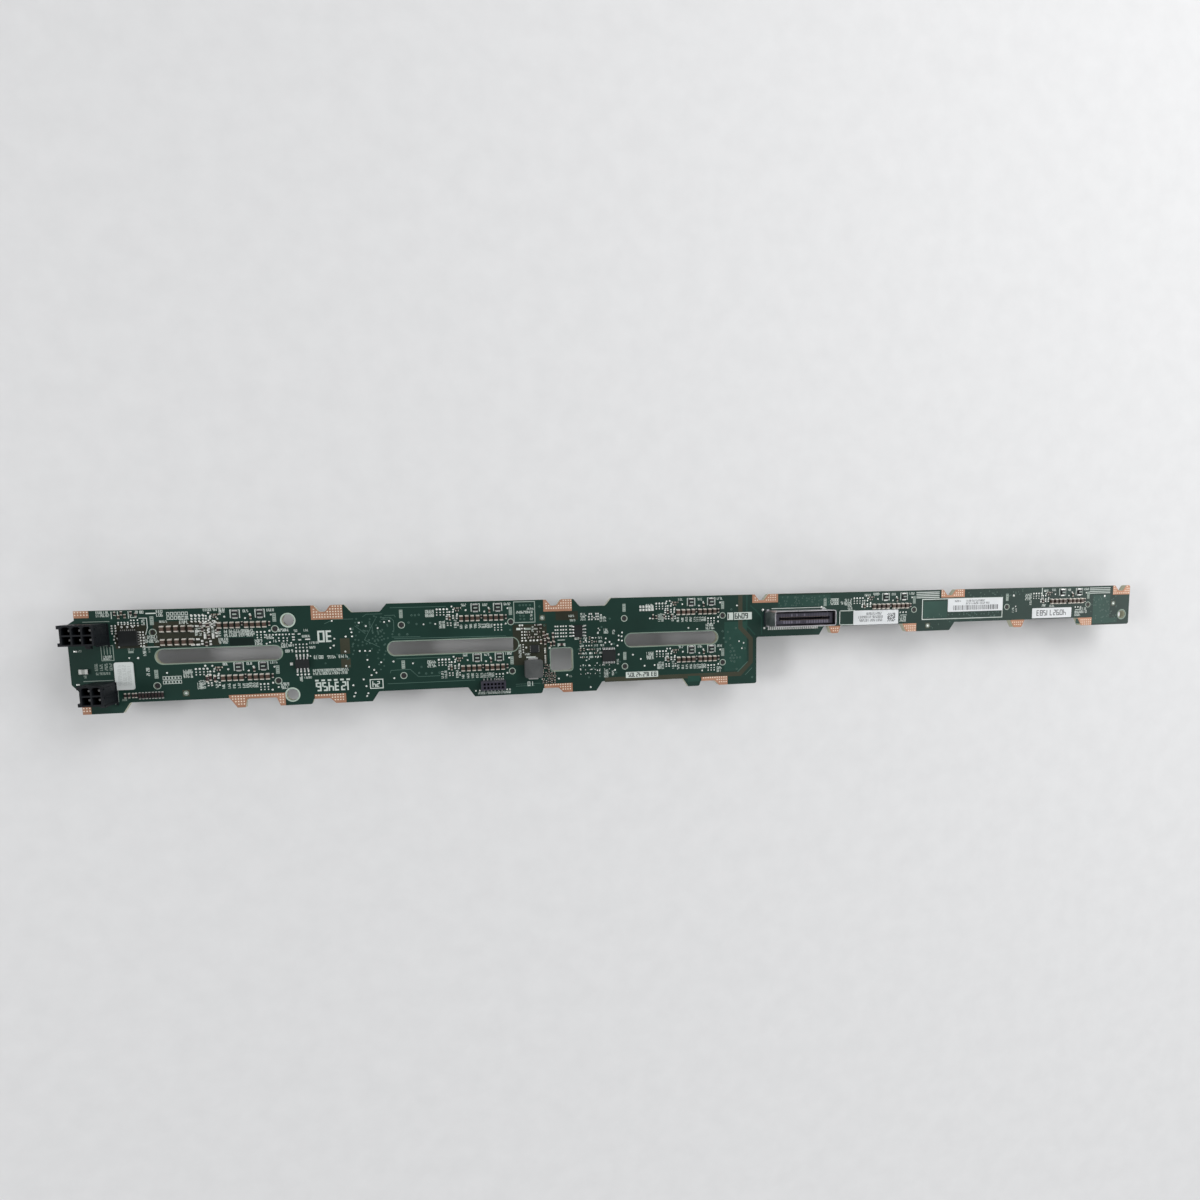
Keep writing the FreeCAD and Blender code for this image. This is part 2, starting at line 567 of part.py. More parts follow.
def data_housing():
    """Foot under the shell, floor of the plug's channel, and the slotted contact core."""
    x, y = data_middle()
    length, width, height = DATA_SIZE
    t = SHELL_THICKNESS
    floor, core_top = FACE + DATA_FLOOR, FACE + height - DATA_CORE_DROP
    foot = rounded_block(x, y, length, width, SHELL_RADIUS, FACE, FACE + DATA_FOOT)
    fill = rounded_block(x, y, length - 2 * t, width - 2 * t, SHELL_RADIUS - t, FACE + DATA_FOOT, floor)
    inset = 2 * (t + PLUG_CHANNEL)
    core = centred_block(x, y, length - inset, width - inset, floor, core_top)
    slot_length, slot_width, slot_depth = CARD_SLOT
    slot = centred_block(x, y, slot_length, slot_width, core_top - slot_depth, core_top)
    return foot.fuse([fill, core]).cut(slot).removeSplitter()


def data_contacts():
    x, y = data_middle()
    contact_width, thickness, reach = DATA_CONTACT
    top = FACE + DATA_SIZE[2] - DATA_CORE_DROP
    shapes = []
    for i in range(DATA_CONTACTS):
        place = x + (i - (DATA_CONTACTS - 1) / 2) * DATA_CONTACT_PITCH
        for side in (-1, 1):
            middle = y + side * (CARD_SLOT[1] - thickness) / 2
            shapes.append(centred_block(place, middle, contact_width, thickness, top - reach, top))
    return shapes


# ---- sideband header ------------------------------------------------------------------------------------------
def sideband_middle():
    x, y = bay_peg(1, 1)
    half_run = (SIDEBAND_COLUMNS - 1) * SIDEBAND_PITCH / 2
    return x + SIDEBAND_FROM_PEG[0] + half_run, y + SIDEBAND_FROM_PEG[1]


def sideband_places():
    """Contacts as (x, side), side being -1 or +1 across the header."""
    x, _ = sideband_middle()
    first = x - (SIDEBAND_COLUMNS - 1) * SIDEBAND_PITCH / 2
    return [(first + i * SIDEBAND_PITCH, side) for side in (-1, 1) for i in range(SIDEBAND_COLUMNS)]


def sideband_housing():
    x, y = sideband_middle()
    length = (SIDEBAND_COLUMNS - 1) * SIDEBAND_PITCH + 2 * SIDEBAND_END
    top = FACE + SIDEBAND_HEIGHT
    body = centred_block(x, y, length, SIDEBAND_WIDTH, FACE, top)
    body = body.makeChamfer(SIDEBAND_CHAMFER, top_edges(body))
    cuts = [centred_block(px, y + side * SIDEBAND_PITCH / 2, SIDEBAND_CAVITY, SIDEBAND_CAVITY,
                          top - SIDEBAND_CAVITY_DEPTH, top) for px, side in sideband_places()]
    return body.cut(cuts)


def sideband_leads():
    _, y = sideband_middle()
    width, reach, height = SIDEBAND_LEAD
    across = (SIDEBAND_WIDTH + reach) / 2
    return [centred_block(px, y + side * across, width, reach, FACE, FACE + height)
            for px, side in sideband_places()]


# ---- inductor, chips and capacitors -----------------------------------------------------------------------------
def inductor():
    x, y = bay_peg(1, 1)
    x, y = x + INDUCTOR_FROM_PEG[0], y + INDUCTOR_FROM_PEG[1]
    length, width, height = INDUCTOR_SIZE
    top = FACE + height
    body = centred_block(x, y, length, width, FACE, top)
    body = body.makeChamfer(INDUCTOR_CHAMFER, upright_edges(body))
    body = body.makeFillet(INDUCTOR_ROUND, top_edges(body))
    tab_width, reach, tab_height = INDUCTOR_TAB
    across = (width + reach) / 2
    tabs = [centred_block(x, y + side * across, tab_width, reach, FACE, FACE + tab_height)
            for side in (-1, 1)]
    return body, tabs


def lead_profile(reach, height):
    """Section of a chip lead as (out, up) corners: flat on the board, or bent down from the body's side."""
    t = LEAD_THICKNESS
    if height <= t:
        return [(0, 0), (reach, 0), (reach, t), (0, t)]
    knee = LEAD_KNEE_SHARE * reach
    return [(0, height - t), (knee, 0), (reach, 0), (reach, t), (knee + t / 2, t), (0, height)]


def chip(x, y, size, sides):
    """A moulded chip on the board as its body and its leads."""
    length, width, height = size
    top = FACE + height
    body = centred_block(x, y, length, width, FACE + CHIP_STANDOFF, top)
    body = body.makeChamfer(CHIP_CHAMFER, top_edges(body))
    foot = centred_block(x, y, length * CHIP_FOOT_SHARE, width * CHIP_FOOT_SHARE, FACE, FACE + CHIP_STANDOFF)
    leads = []
    for side, count, pitch, lead_width, reach, lead_height in sides:
        sign = 1 if side[0] == "+" else -1
        rise = lead_height if lead_height else CHIP_STANDOFF
        for i in range(count):
            along = (i - (count - 1) / 2) * pitch - lead_width / 2
            if side[1] == "Y":
                points = [V(x + along, y + sign * (width / 2 + out), FACE + up)
                          for out, up in lead_profile(reach, rise)]
                run = V(lead_width, 0, 0)
            else:
                points = [V(x + sign * (length / 2 + out), y + along, FACE + up)
                          for out, up in lead_profile(reach, rise)]
                run = V(0, lead_width, 0)
            leads.append(Part.Face(Part.makePolygon(points + points[:1])).extrude(run))
    return body.fuse(foot), leads


def bay_switches():
    """Two small power switches at each drive bay, each on its lead plate."""
    length, width, height = SWITCH_BODY
    reach, plate = SWITCH_LEAD
    bodies, leads = [], []
    for _, column, row in bays():
        x, y = bay_peg(column, row)
        for place in SWITCH_COLUMNS:
            cx, cy = x + place, y + SWITCH_RISE
            body = centred_block(cx, cy, length, width, FACE + plate, FACE + height)
            bodies.append(body.makeChamfer(SWITCH_CHAMFER, top_edges(body)))
            leads.append(centred_block(cx, cy, length, width + 2 * reach, FACE, FACE + plate))
    return bodies, leads


def chip_parts(places, size):
    """Small two-ended parts lying across the board."""
    return [centred_block(x, y, size[0], size[1], FACE, FACE + size[2]) for x, y in places]


def bay_capacitor_places(row_wanted):
    pegs = [bay_peg(column, row) for _, column, row in bays() if row == row_wanted]
    return [(x + step, y + BAY_CAP_RISE) for x, y in pegs for step in BAY_CAP_COLUMNS]


def bulk_capacitor_places():
    x, y = bay_peg(0)
    return [(x + BULK_CAP_FIRST + i * BULK_CAP_PITCH, y + rise)
            for rise in BULK_CAP_ROWS for i in range(BULK_CAP_COLUMNS)]


def resistor_places():
    x, y = bay_peg(0, 1)
    return [(x + RESISTOR_FROM_PEG[0] + i * RESISTOR_PITCH, y + RESISTOR_FROM_PEG[1])
            for i in range(RESISTOR_COUNT)]


def label(column, left, right, low, high, thickness, radius):
    x, y = bay_peg(column)
    return prism(rectangle(x + left, x + right, y + low, y + high, radius), FACE, FACE + thickness)


def main():
    os.makedirs("parts", exist_ok=True)
    save("backplane_board", [board()])
    save("ground_lands", lands())
    for number, column, row in bays():
        save("drive_receptacle_%d" % number, [receptacle_housing(column, row)])
        save("drive_contacts_%d" % number, receptacle_contacts(column, row))
    for name, header in (("power_header_large", LARGE_HEADER), ("power_header_small", SMALL_HEADER)):
        save(name, [header_housing(header)])
        save(name + "_pins", pins_of(header))
    save("data_connector_shell", [data_shell()])
    save("data_connector_housing", [data_housing()])
    save("data_connector_contacts", data_contacts())
    save("sideband_header", [sideband_housing()])
    save("sideband_leads", sideband_leads())
    body, tabs = inductor()
    save("power_inductor", [body])
    save("inductor_terminals", tabs)
    for name, column, (dx, dy), size, sides in CHIPS:
        x, y = bay_peg(column)
        body, leads = chip(x + dx, y + dy, size, sides)
        save(name, [body])
        save(name + "_leads", leads)
    bodies, leads = bay_switches()
    save("bay_switches", bodies)
    save("bay_switch_leads", leads)
    save("upper_bay_capacitors", chip_parts(bay_capacitor_places(0), CAP_SIZE))
    save("lower_bay_capacitors", chip_parts(bay_capacitor_places(1), CAP_SIZE))
    save("bulk_capacitors", chip_parts(bulk_capacitor_places(), CAP_SIZE))
    save("chip_resistors", chip_parts(resistor_places(), RESISTOR_SIZE))
    x, y = bay_peg(0)
    save("chip_fuse", chip_parts([(x + FUSE_FROM_PEG[0], y + FUSE_FROM_PEG[1])], FUSE_SIZE))
    for name, *place in LABELS:
        save(name, [label(*place)])


main()
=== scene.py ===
"""Looks for the drive backplane board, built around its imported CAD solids.

Lengths are millimetres in the part's own frame until a mesh is made, which turns them into metres.
"""

import functools
import math
import random

import bpy
from mathutils import Matrix, Vector


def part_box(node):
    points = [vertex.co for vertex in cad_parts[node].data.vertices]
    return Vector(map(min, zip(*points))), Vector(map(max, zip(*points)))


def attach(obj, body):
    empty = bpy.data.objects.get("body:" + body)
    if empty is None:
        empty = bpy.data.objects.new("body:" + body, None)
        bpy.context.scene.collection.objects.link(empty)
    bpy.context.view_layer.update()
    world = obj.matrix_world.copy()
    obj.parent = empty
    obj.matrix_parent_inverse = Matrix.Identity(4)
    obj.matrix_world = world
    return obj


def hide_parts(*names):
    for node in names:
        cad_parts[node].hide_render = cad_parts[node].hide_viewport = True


MM = 0.001
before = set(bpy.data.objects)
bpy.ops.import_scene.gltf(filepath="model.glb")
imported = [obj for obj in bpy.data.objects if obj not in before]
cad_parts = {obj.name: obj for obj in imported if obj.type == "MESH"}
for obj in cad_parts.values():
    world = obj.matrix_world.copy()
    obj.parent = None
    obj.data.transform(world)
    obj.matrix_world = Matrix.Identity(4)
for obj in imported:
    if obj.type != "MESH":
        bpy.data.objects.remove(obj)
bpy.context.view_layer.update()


@functools.lru_cache(maxsize=None)
def box_mm(node):
    """Lowest and highest corner of a CAD node, in millimetres."""
    low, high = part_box(node)
    return [c / MM for c in low], [c / MM for c in high]


# ---- places taken from the frame ----------------------------------------------------------------------------
BOARD_LOW, BOARD_HIGH = box_mm("backplane_board")
FACE = BOARD_HIGH[2]
UNDER = BOARD_LOW[2]
RECEPTACLES = 8
SINGLE_BAYS = (4, 5)       # the narrow part's bays, which have no lower neighbour
PEG_INSET = 1.5            # housing end to its peg
PEG_SPACING = 38.2
PEG_HOLE_RADIUS = 0.8


def bay_peg(number):
    """Left peg of a drive bay."""
    low, high = box_mm("drive_receptacle_%d" % number)
    return low[0] + PEG_INSET, (low[1] + high[1]) / 2


SILK = 0.03                # printed marks stand this far above the board
PAD = 0.05                 # solder pads
TRACE = 0.012              # copper lines under the mask
HAIR = 0.000002            # between one pattern area and the next, for each face made before it
SINK = 0.01                # everything printed starts this far inside the board


# ---- materials ------------------------------------------------------------------------------------------------
def new_material(name):
    mat = bpy.data.materials.new(name)
    mat.use_nodes = True
    nodes = mat.node_tree.nodes
    return mat, nodes, mat.node_tree.links, nodes["Principled BSDF"]


def noise(nodes, links, coords, scale, detail=4.0, rough=0.55):
    node = nodes.new("ShaderNodeTexNoise")
    node.inputs["Scale"].default_value = scale
    node.inputs["Detail"].default_value = detail
    node.inputs["Roughness"].default_value = rough
    links.new(coords, node.inputs["Vector"])
    return node.outputs["Fac"]


def spread(nodes, links, value, low, high):
    """Map a noise value to low..high."""
    node = nodes.new("ShaderNodeMapRange")
    node.inputs["From Min"].default_value = 0.3
    node.inputs["From Max"].default_value = 0.7
    node.inputs["To Min"].default_value = low
    node.inputs["To Max"].default_value = high
    links.new(value, node.inputs["Value"])
    return node.outputs["Result"]


def blend_colors(nodes, links, factor, first, second):
    mix = nodes.new("ShaderNodeMix")
    mix.data_type = "RGBA"
    for socket, color in ((mix.inputs[6], first), (mix.inputs[7], second)):
        if isinstance(color, tuple):
            socket.default_value = (*color, 1.0)
        else:
            links.new(color, socket)
    links.new(factor, mix.inputs[0])
    return mix.outputs[2]


def add_bump(nodes, links, shader, height, strength, distance):
    bump = nodes.new("ShaderNodeBump")
    bump.inputs["Strength"].default_value = strength
    bump.inputs["Distance"].default_value = distance
    links.new(height, bump.inputs["Height"])
    links.new(bump.outputs["Normal"], shader.inputs["Normal"])


def surface(name, dark, light, rough, metallic=0.0, scale=900.0, bump=0.15, depth=0.00003, shine=0.5):
    """A finish whose colour, roughness and relief vary finely over the surface."""
    mat, nodes, links, shader = new_material(name)
    coords = nodes.new("ShaderNodeTexCoord").outputs["Object"]
    broad = noise(nodes, links, coords, scale * 0.12, 3.0)
    fine = noise(nodes, links, coords, scale, 5.0)
    links.new(blend_colors(nodes, links, spread(nodes, links, broad, 0.0, 1.0), dark, light),
              shader.inputs["Base Color"])
    links.new(spread(nodes, links, fine, *rough), shader.inputs["Roughness"])
    shader.inputs["Metallic"].default_value = metallic
    shader.inputs["Specular IOR Level"].default_value = shine
    add_bump(nodes, links, shader, fine, bump, depth)
    return mat


def board_material():
    """Solder mask on the flat faces, bare glass-epoxy laminate on the routed edges."""
    mat, nodes, links, shader = new_material("solder_mask")
    coords = nodes.new("ShaderNodeTexCoord").outputs["Object"]
    broad = noise(nodes, links, coords, 38.0, 3.0)
    fine = noise(nodes, links, coords, 1500.0, 4.0)
    mask = blend_colors(nodes, links, spread(nodes, links, broad, 0.0, 1.0), MASK_DEEP, MASK_FRESH)
    layers = nodes.new("ShaderNodeTexWave")
    layers.bands_direction = "Z"
    layers.inputs["Scale"].default_value = 420.0
    layers.inputs["Distortion"].default_value = 1.5
    links.new(coords, layers.inputs["Vector"])
    edge = blend_colors(nodes, links, layers.outputs["Fac"], (0.30, 0.30, 0.21), (0.46, 0.47, 0.36))
    normal = nodes.new("ShaderNodeSeparateXYZ")
    links.new(nodes.new("ShaderNodeNewGeometry").outputs["Normal"], normal.inputs["Vector"])
    steep = nodes.new("ShaderNodeMath")
    steep.operation = "ABSOLUTE"
    links.new(normal.outputs["Z"], steep.inputs[0])
    flat = nodes.new("ShaderNodeMath")
    flat.operation = "GREATER_THAN"
    flat.inputs[1].default_value = 0.5
    links.new(steep.outputs[0], flat.inputs[0])
    links.new(blend_colors(nodes, links, flat.outputs[0], edge, mask), shader.inputs["Base Color"])
    links.new(spread(nodes, links, fine, 0.30, 0.40), shader.inputs["Roughness"])
    shader.inputs["Specular IOR Level"].default_value = MASK_SHINE
    add_bump(nodes, links, shader, fine, 0.2, 0.00002)
    return mat


MASK_DEEP = (0.0060, 0.0245, 0.0180)
MASK_FRESH = (0.0095, 0.0370, 0.0275)
MASK_SHINE = 0.3
MASK = board_material()
MASK_LINE = surface("mask_over_copper", (0.060, 0.115, 0.095), (0.080, 0.145, 0.122), (0.28, 0.4), shine=MASK_SHINE)
MASK_PLANE = surface("mask_over_plane", (0.011, 0.046, 0.034), (0.016, 0.060, 0.045), (0.3, 0.4), shine=MASK_SHINE)
MASK_POWER = surface("mask_over_power_plane", (0.036, 0.038, 0.024), (0.048, 0.050, 0.032), (0.3, 0.42), shine=MASK_SHINE)
MASK_GAP = surface("mask_over_gap", (0.003, 0.010, 0.008), (0.005, 0.014, 0.011), (0.28, 0.38), shine=MASK_SHINE)
MASK_SHADE = surface("mask_over_inner_plane", (0.019, 0.021, 0.013), (0.027, 0.029, 0.018), (0.3, 0.42), shine=MASK_SHINE)
LAMINATE = surface("bare_laminate", (0.16, 0.22, 0.18), (0.24, 0.31, 0.25), (0.45, 0.6), bump=0.3)
WHITE_INK = surface("white_silkscreen", (0.44, 0.50, 0.46), (0.60, 0.65, 0.61), (0.5, 0.65), bump=0.3)
GREY_INK = surface("thin_silkscreen", (0.20, 0.25, 0.22), (0.30, 0.36, 0.32), (0.5, 0.65), bump=0.3)
# Painted light: a pale lit copy and a dark shaded copy of the same rib plastic inside the data connector.
RIB_PAINTED_LIT = surface("contact_rib", (0.105, 0.096, 0.130), (0.165, 0.152, 0.200), (0.4, 0.55), bump=0.3)
RIB_PAINTED_SHADE = surface("contact_rib_shaded", (0.032, 0.029, 0.046), (0.050, 0.046, 0.070), (0.4, 0.55), bump=0.3)
SOLDER = surface("solder", (0.58, 0.60, 0.57), (0.78, 0.79, 0.76), (0.2, 0.4), metallic=0.4, bump=0.4, scale=1500)
TIN = surface("tin_plate", (0.55, 0.55, 0.54), (0.74, 0.74, 0.73), (0.26, 0.44), metallic=0.85, bump=0.3)
PART_ENDS = surface("chip_part_ends", (0.48, 0.44, 0.38), (0.68, 0.63, 0.56), (0.3, 0.45), metallic=0.3)
COPPER = surface("plated_copper", (0.37, 0.18, 0.105), (0.48, 0.26, 0.17), (0.38, 0.55), metallic=0.45, scale=700.0,
                 bump=0.3)
LAND_DOT = surface("land_solder_dots", (0.68, 0.57, 0.46), (0.84, 0.73, 0.61), (0.35, 0.5), metallic=0.2)
MASK_RING = surface("mask_pulled_back_ring", (0.34, 0.42, 0.36), (0.46, 0.54, 0.47), (0.45, 0.6), bump=0.3)
# Painted shade: near-black for the flat ring round each peg hole, standing for the hole's shade.
HOLE_PAINTED_SHADE = surface("painted_hole_shade", (0.02, 0.02, 0.018), (0.04, 0.038, 0.03), (0.5, 0.7))
BLACK_PLASTIC = surface("black_nylon", (0.0045, 0.0058, 0.0075), (0.0085, 0.0105, 0.0130), (0.42, 0.58), bump=0.35,
                        shine=0.22)
NAVY_PLASTIC = surface("dark_plug_plastic", (0.016, 0.014, 0.026), (0.028, 0.026, 0.042), (0.4, 0.55), bump=0.3)
RECEPTACLE_PLASTIC = surface("receptacle_plastic", (0.012, 0.012, 0.013), (0.022, 0.022, 0.024), (0.42, 0.6),
                             bump=0.35)
GOLD = surface("gold_flash", (0.70, 0.52, 0.26), (0.84, 0.66, 0.38), (0.22, 0.36), metallic=1.0)
# Painted shade: the data connector's contacts are coloured dim brown for the shade deep inside the slot.
CONTACTS_PAINTED_SHADE = surface("shaded_contacts", (0.20, 0.16, 0.15), (0.30, 0.25, 0.22), (0.3, 0.45), metallic=0.6)
STEEL = surface("shell_steel", (0.46, 0.45, 0.47), (0.62, 0.60, 0.63), (0.26, 0.44), metallic=1.0, bump=0.25)
EPOXY = surface("chip_epoxy", (0.009, 0.011, 0.011), (0.016, 0.018, 0.019), (0.45, 0.6), bump=0.5, shine=0.25)
FERRITE = surface("pressed_powder", (0.036, 0.040, 0.040), (0.072, 0.077, 0.076), (0.5, 0.7), bump=0.8,
                  scale=1600, depth=0.00006)
CERAMIC = surface("capacitor_ceramic", (0.042, 0.026, 0.019), (0.085, 0.054, 0.040), (0.32, 0.46), bump=0.25)
GLAZE = surface("resistor_glaze", (0.020, 0.013, 0.014), (0.046, 0.025, 0.025), (0.25, 0.4))
PALE_CERAMIC = surface("pale_ceramic", (0.26, 0.28, 0.26), (0.36, 0.38, 0.36), (0.4, 0.55))
PAPER = surface("label_paper", (0.64, 0.66, 0.67), (0.72, 0.74, 0.75), (0.55, 0.7), bump=0.2)
PAD_FILM = surface("plain_pad", (0.54, 0.57, 0.56), (0.63, 0.66, 0.65), (0.5, 0.62), bump=0.3)
FAINT_PRINT = surface("faint_pad_print", (0.40, 0.43, 0.42), (0.46, 0.49, 0.48), (0.55, 0.7))
PRINT = surface("label_print", (0.06, 0.065, 0.07), (0.12, 0.125, 0.13), (0.6, 0.75))


# ---- mesh building --------------------------------------------------------------------------------------------
class Piece:
    """Collects plates, blocks, rings and domes in millimetres and makes one mesh of them."""

    def __init__(self, name, materials, slot, smooth=False):
        self.name, self.materials, self.slot, self.smooth = name, materials, slot, smooth
        self.points, self.faces, self.kinds = [], [], []

    def rings(self, loops, kind=0, top=True):
        """Skin a stack of closed loops, each a list of points, and close the last one."""
        count = len(loops[0])
        first = len(self.points)
        for loop in loops:
            self.points += loop
        for level in range(len(loops) - 1):
            a = first + level * count
            for i in range(count):
                j = (i + 1) % count
                self.faces.append([a + i, a + j, a + count + j, a + count + i])
                self.kinds.append(kind)
        if top:
            self.faces.append([first + (len(loops) - 1) * count + i for i in range(count)])
            self.kinds.append(kind)

    def prism(self, outline, z0, z1, kind=0):
        self.rings([[(x, y, z0) for x, y in outline], [(x, y, z1) for x, y in outline]], kind)

    def block(self, x0, x1, y0, y1, z0, z1, kind=0):
        self.prism([(x0, y0), (x1, y0), (x1, y1), (x0, y1)], z0, z1, kind)

    def mound(self, x0, x1, y0, y1, z0, z1, inset, kind=0):
        """Block whose upper edges are drawn in, as on a soldered or moulded part."""
        def loop(shrink, z):
            return [(x0 + shrink, y0 + shrink, z), (x1 - shrink, y0 + shrink, z),
                    (x1 - shrink, y1 - shrink, z), (x0 + shrink, y1 - shrink, z)]
        self.rings([loop(0, z0), loop(0, z0 + (z1 - z0) * 0.75), loop(inset, z1)], kind)

    def circle(self, x, y, radius, z, sides):
        return [(x + radius * math.cos(2 * math.pi * i / sides), y + radius * math.sin(2 * math.pi * i / sides), z)
                for i in range(sides)]

    def disc(self, x, y, radius, z0, z1, kind=0, sides=12):
        self.rings([self.circle(x, y, radius, z0, sides), self.circle(x, y, radius, z1, sides)], kind)

    def dome(self, x, y, radius, z0, z1, kind=0, sides=8):
        rise = z1 - z0
        self.rings([self.circle(x, y, radius * r, z0 + rise * h, sides)
                    for r, h in ((1.0, 0.0), (0.86, 0.55), (0.5, 0.9), (0.2, 1.0))], kind)

    def ring(self, x, y, inner, outer, z0, z1, kind=0, sides=28):
        self.rings([self.circle(x, y, outer, z0, sides), self.circle(x, y, outer, z1, sides),
                    self.circle(x, y, inner, z1, sides), self.circle(x, y, inner, z0, sides)], kind, top=False)

    def make(self, replaces=()):
        mesh = bpy.data.meshes.new(self.name)
        mesh.from_pydata([(x * MM, y * MM, z * MM) for x, y, z in self.points], [], self.faces)
        for mat in self.materials:
            mesh.materials.append(mat)
        mesh.polygons.foreach_set("material_index", self.kinds)
        mesh.polygons.foreach_set("use_smooth", [self.smooth] * len(self.faces))
        mesh.validate()
        mesh.update()
        piece = bpy.data.objects.new(self.name, mesh)
        bpy.context.scene.collection.objects.link(piece)
        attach(piece, "root")
        if replaces:
            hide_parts(*replaces)
        return piece


silk = Piece("silkscreen", [WHITE_INK, GREY_INK], "board_green")
pads = Piece("solder_pads", [SOLDER, HOLE_PAINTED_SHADE, LAMINATE, MASK_RING], "tin_metal")
dots = Piece("solder_dots", [SOLDER, LAND_DOT], "tin_metal", smooth=True)
lines = Piece("copper_pattern", [MASK_LINE, MASK_PLANE, MASK_POWER, MASK_GAP, MASK_SHADE], "board_green")
smd = Piece("small_parts", [PART_ENDS, CERAMIC, GLAZE, PALE_CERAMIC, EPOXY], "capacitor_brown")
WHITE, GREY = range(2)
BRIGHT, HOLE_SHADE_RING, BARE, RING = range(4)
LINE, PLANE, POWER, GAP, SHADE = range(5)
ENDS, BROWN, DARK, PALE, BODY = range(5)

# Strokes of plain digits on a grid one wide and two high, in seven-segment style: the side of each upright
# stroke and the half it fills, and the height of each level one.
UPRIGHTS = {"b": (1, 1), "c": (1, 0), "e": (0, 0), "f": (0, 1)}
LEVELS = {"a": 1.0, "g": 0.5, "d": 0.0}
DIGITS = ("abcdef", "bc", "abged", "abgcd", "fgbc", "afgcd", "afgedc", "abc", "abcdefg", "abcdfg")
DIGIT_WIDTH = 0.52         # of a digit's height
DIGIT_STEP = 0.8           # of a digit's height, from one digit to the next
ROW_STEP = 1.4             # of a digit's height, from one row to the next
ALONG, DOWN, BACK = range(3)


def digits(target, x, y, numbers, size, pen, way=BACK, kind=0, base=None, rise=SILK):
    """Row of plain digits in the field that starts at x, y: read along, down the board, or upside down."""
    z0 = (FACE if base is None else base) - SINK
    z1 = z0 + SINK + rise
    wide = size * DIGIT_WIDTH
    whole = size * DIGIT_STEP * (len(numbers) - 1) + wide
    for place, number in enumerate(numbers):
        start = place * size * DIGIT_STEP
        for stroke in DIGITS[number]:
            if stroke in LEVELS:
                u0, u1 = start + pen / 2, start + wide - pen / 2
                v0 = LEVELS[stroke] * size - pen / 2
                v1 = v0 + pen
            else:
                side, half = UPRIGHTS[stroke]
                u0, u1 = start + side * wide - pen / 2, start + side * wide + pen / 2
                v0, v1 = (size / 2, size + pen / 2) if half else (-pen / 2, size / 2)
            if way == DOWN:
                target.block(x + v0, x + v1, y - u1, y - u0, z0, z1, kind)
            elif way == BACK:
                target.block(x + whole - u1, x + whole - u0, y + size - v1, y + size - v0, z0, z1, kind)
            else:
                target.block(x + u0, x + u1, y + v0, y + v1, z0, z1, kind)


def number_field(x0, x1, y0, y1, size, rng, turned=False, kind=WHITE, pen=0.18):
    """Rows of plain numbers filling a printed field."""
    along, across = (y1 - y0, x1 - x0) if turned else (x1 - x0, y1 - y0)
    rows = max(1, int((across - size) / (size * ROW_STEP) + 1.001))
    count = max(1, int((along - size * 0.5) / (size * DIGIT_STEP) + 1.001))
    for row in range(rows):
        numbers = [rng.randrange(10) for _ in range(count)]
        if turned:
            digits(silk, x0 + row * size * ROW_STEP, y1, numbers, size, size * pen, DOWN, kind)
        else:
            digits(silk, x0, y1 - size - row * size * ROW_STEP, numbers, size, size * pen, BACK, kind)


def bar(x0, x1, y0, y1, kind=WHITE):
    silk.block(x0, x1, y0, y1, FACE - SINK, FACE + SILK, kind)


def printed_line(route, width=0.25, kind=WHITE, target=None, rise=SILK):
    """Printed or etched line of one width along straight runs, mitred at the bends."""
    ways = []
    for (ax, ay), (bx, by) in zip(route, route[1:]):
        size = math.hypot(bx - ax, by - ay)
        ways.append(((bx - ax) / size, (by - ay) / size))
    left, right_side = [], []
    for i, (x, y) in enumerate(route):
        before, after = ways[max(i - 1, 0)], ways[min(i, len(ways) - 1)]
        nx, ny = -before[1] - after[1], before[0] + after[0]
        reach = width / (nx * nx + ny * ny)
        left.append((x + nx * reach, y + ny * reach))
        right_side.append((x - nx * reach, y - ny * reach))
    (target or silk).prism(right_side + left[::-1], FACE - SINK, FACE + rise, kind)


def trace(route, width=0.17, kind=LINE):
    """Line of copper under the mask; each next one lies a hair higher, so that crossings stay clean."""
    printed_line(route, width, kind, lines, TRACE + len(lines.kinds) * HAIR)


def area(x0, x1, y0, y1, kind=PLANE):
    """Copper area under the mask; it lies lower than the traces that cross it."""
    lines.block(x0, x1, y0, y1, FACE - SINK, FACE + TRACE * 0.5 + len(lines.kinds) * HAIR, kind)


def outline_mark(x0, x1, y0, y1, pen=0.25, kind=WHITE):
    """Hollow printed rectangle."""
    bar(x0, x1, y0, y0 + pen, kind)
    bar(x0, x1, y1 - pen, y1, kind)
    bar(x0, x0 + pen, y0 + pen, y1 - pen, kind)
    bar(x1 - pen, x1, y0 + pen, y1 - pen, kind)


def chip_part(x, y, length, width, height, along_y=True, kind=BROWN):
    """Two-ended chip part with its solder; length runs between the ends."""
    end = length * 0.2

    def span(target, a0, a1, half, z0, z1, inset, material):
        box = (x - half, x + half, y + a0, y + a1) if along_y else (x + a0, x + a1, y - half, y + half)
        target.mound(*box, z0, z1, inset, material)

    half = length / 2
    span(smd, -half + end * 0.8, half - end * 0.8, width * 0.47, FACE, FACE + height * 0.95, 0.02, kind)
    for sign in (-1, 1):
        near, far = sorted((sign * half, sign * (half - end)))
        span(smd, near, far, width / 2, FACE, FACE + height, min(0.06, width * 0.1), ENDS)
        near, far = sorted((sign * (half + length * 0.06), sign * (half - end)))
        span(pads, near, far, width * 0.51, FACE - SINK, FACE + PAD * 2, 0.04, BRIGHT)


def pad(x, y, width, height, rise=PAD * 2):
    """Tinned pad with a little solder on it."""
    pads.mound(x - width / 2, x + width / 2, y - height / 2, y + height / 2, FACE - SINK, FACE + rise,
               min(width, height) * 0.2, BRIGHT)


def dot(x, y, size=0.62):
    """Soldered test point."""
    dots.dome(x, y, size / 2, FACE - SINK, FACE + 0.08)


def dot_grid(xs, ys, size=0.6):
    for y in ys:
        for x in xs:
            dot(x, y, size)


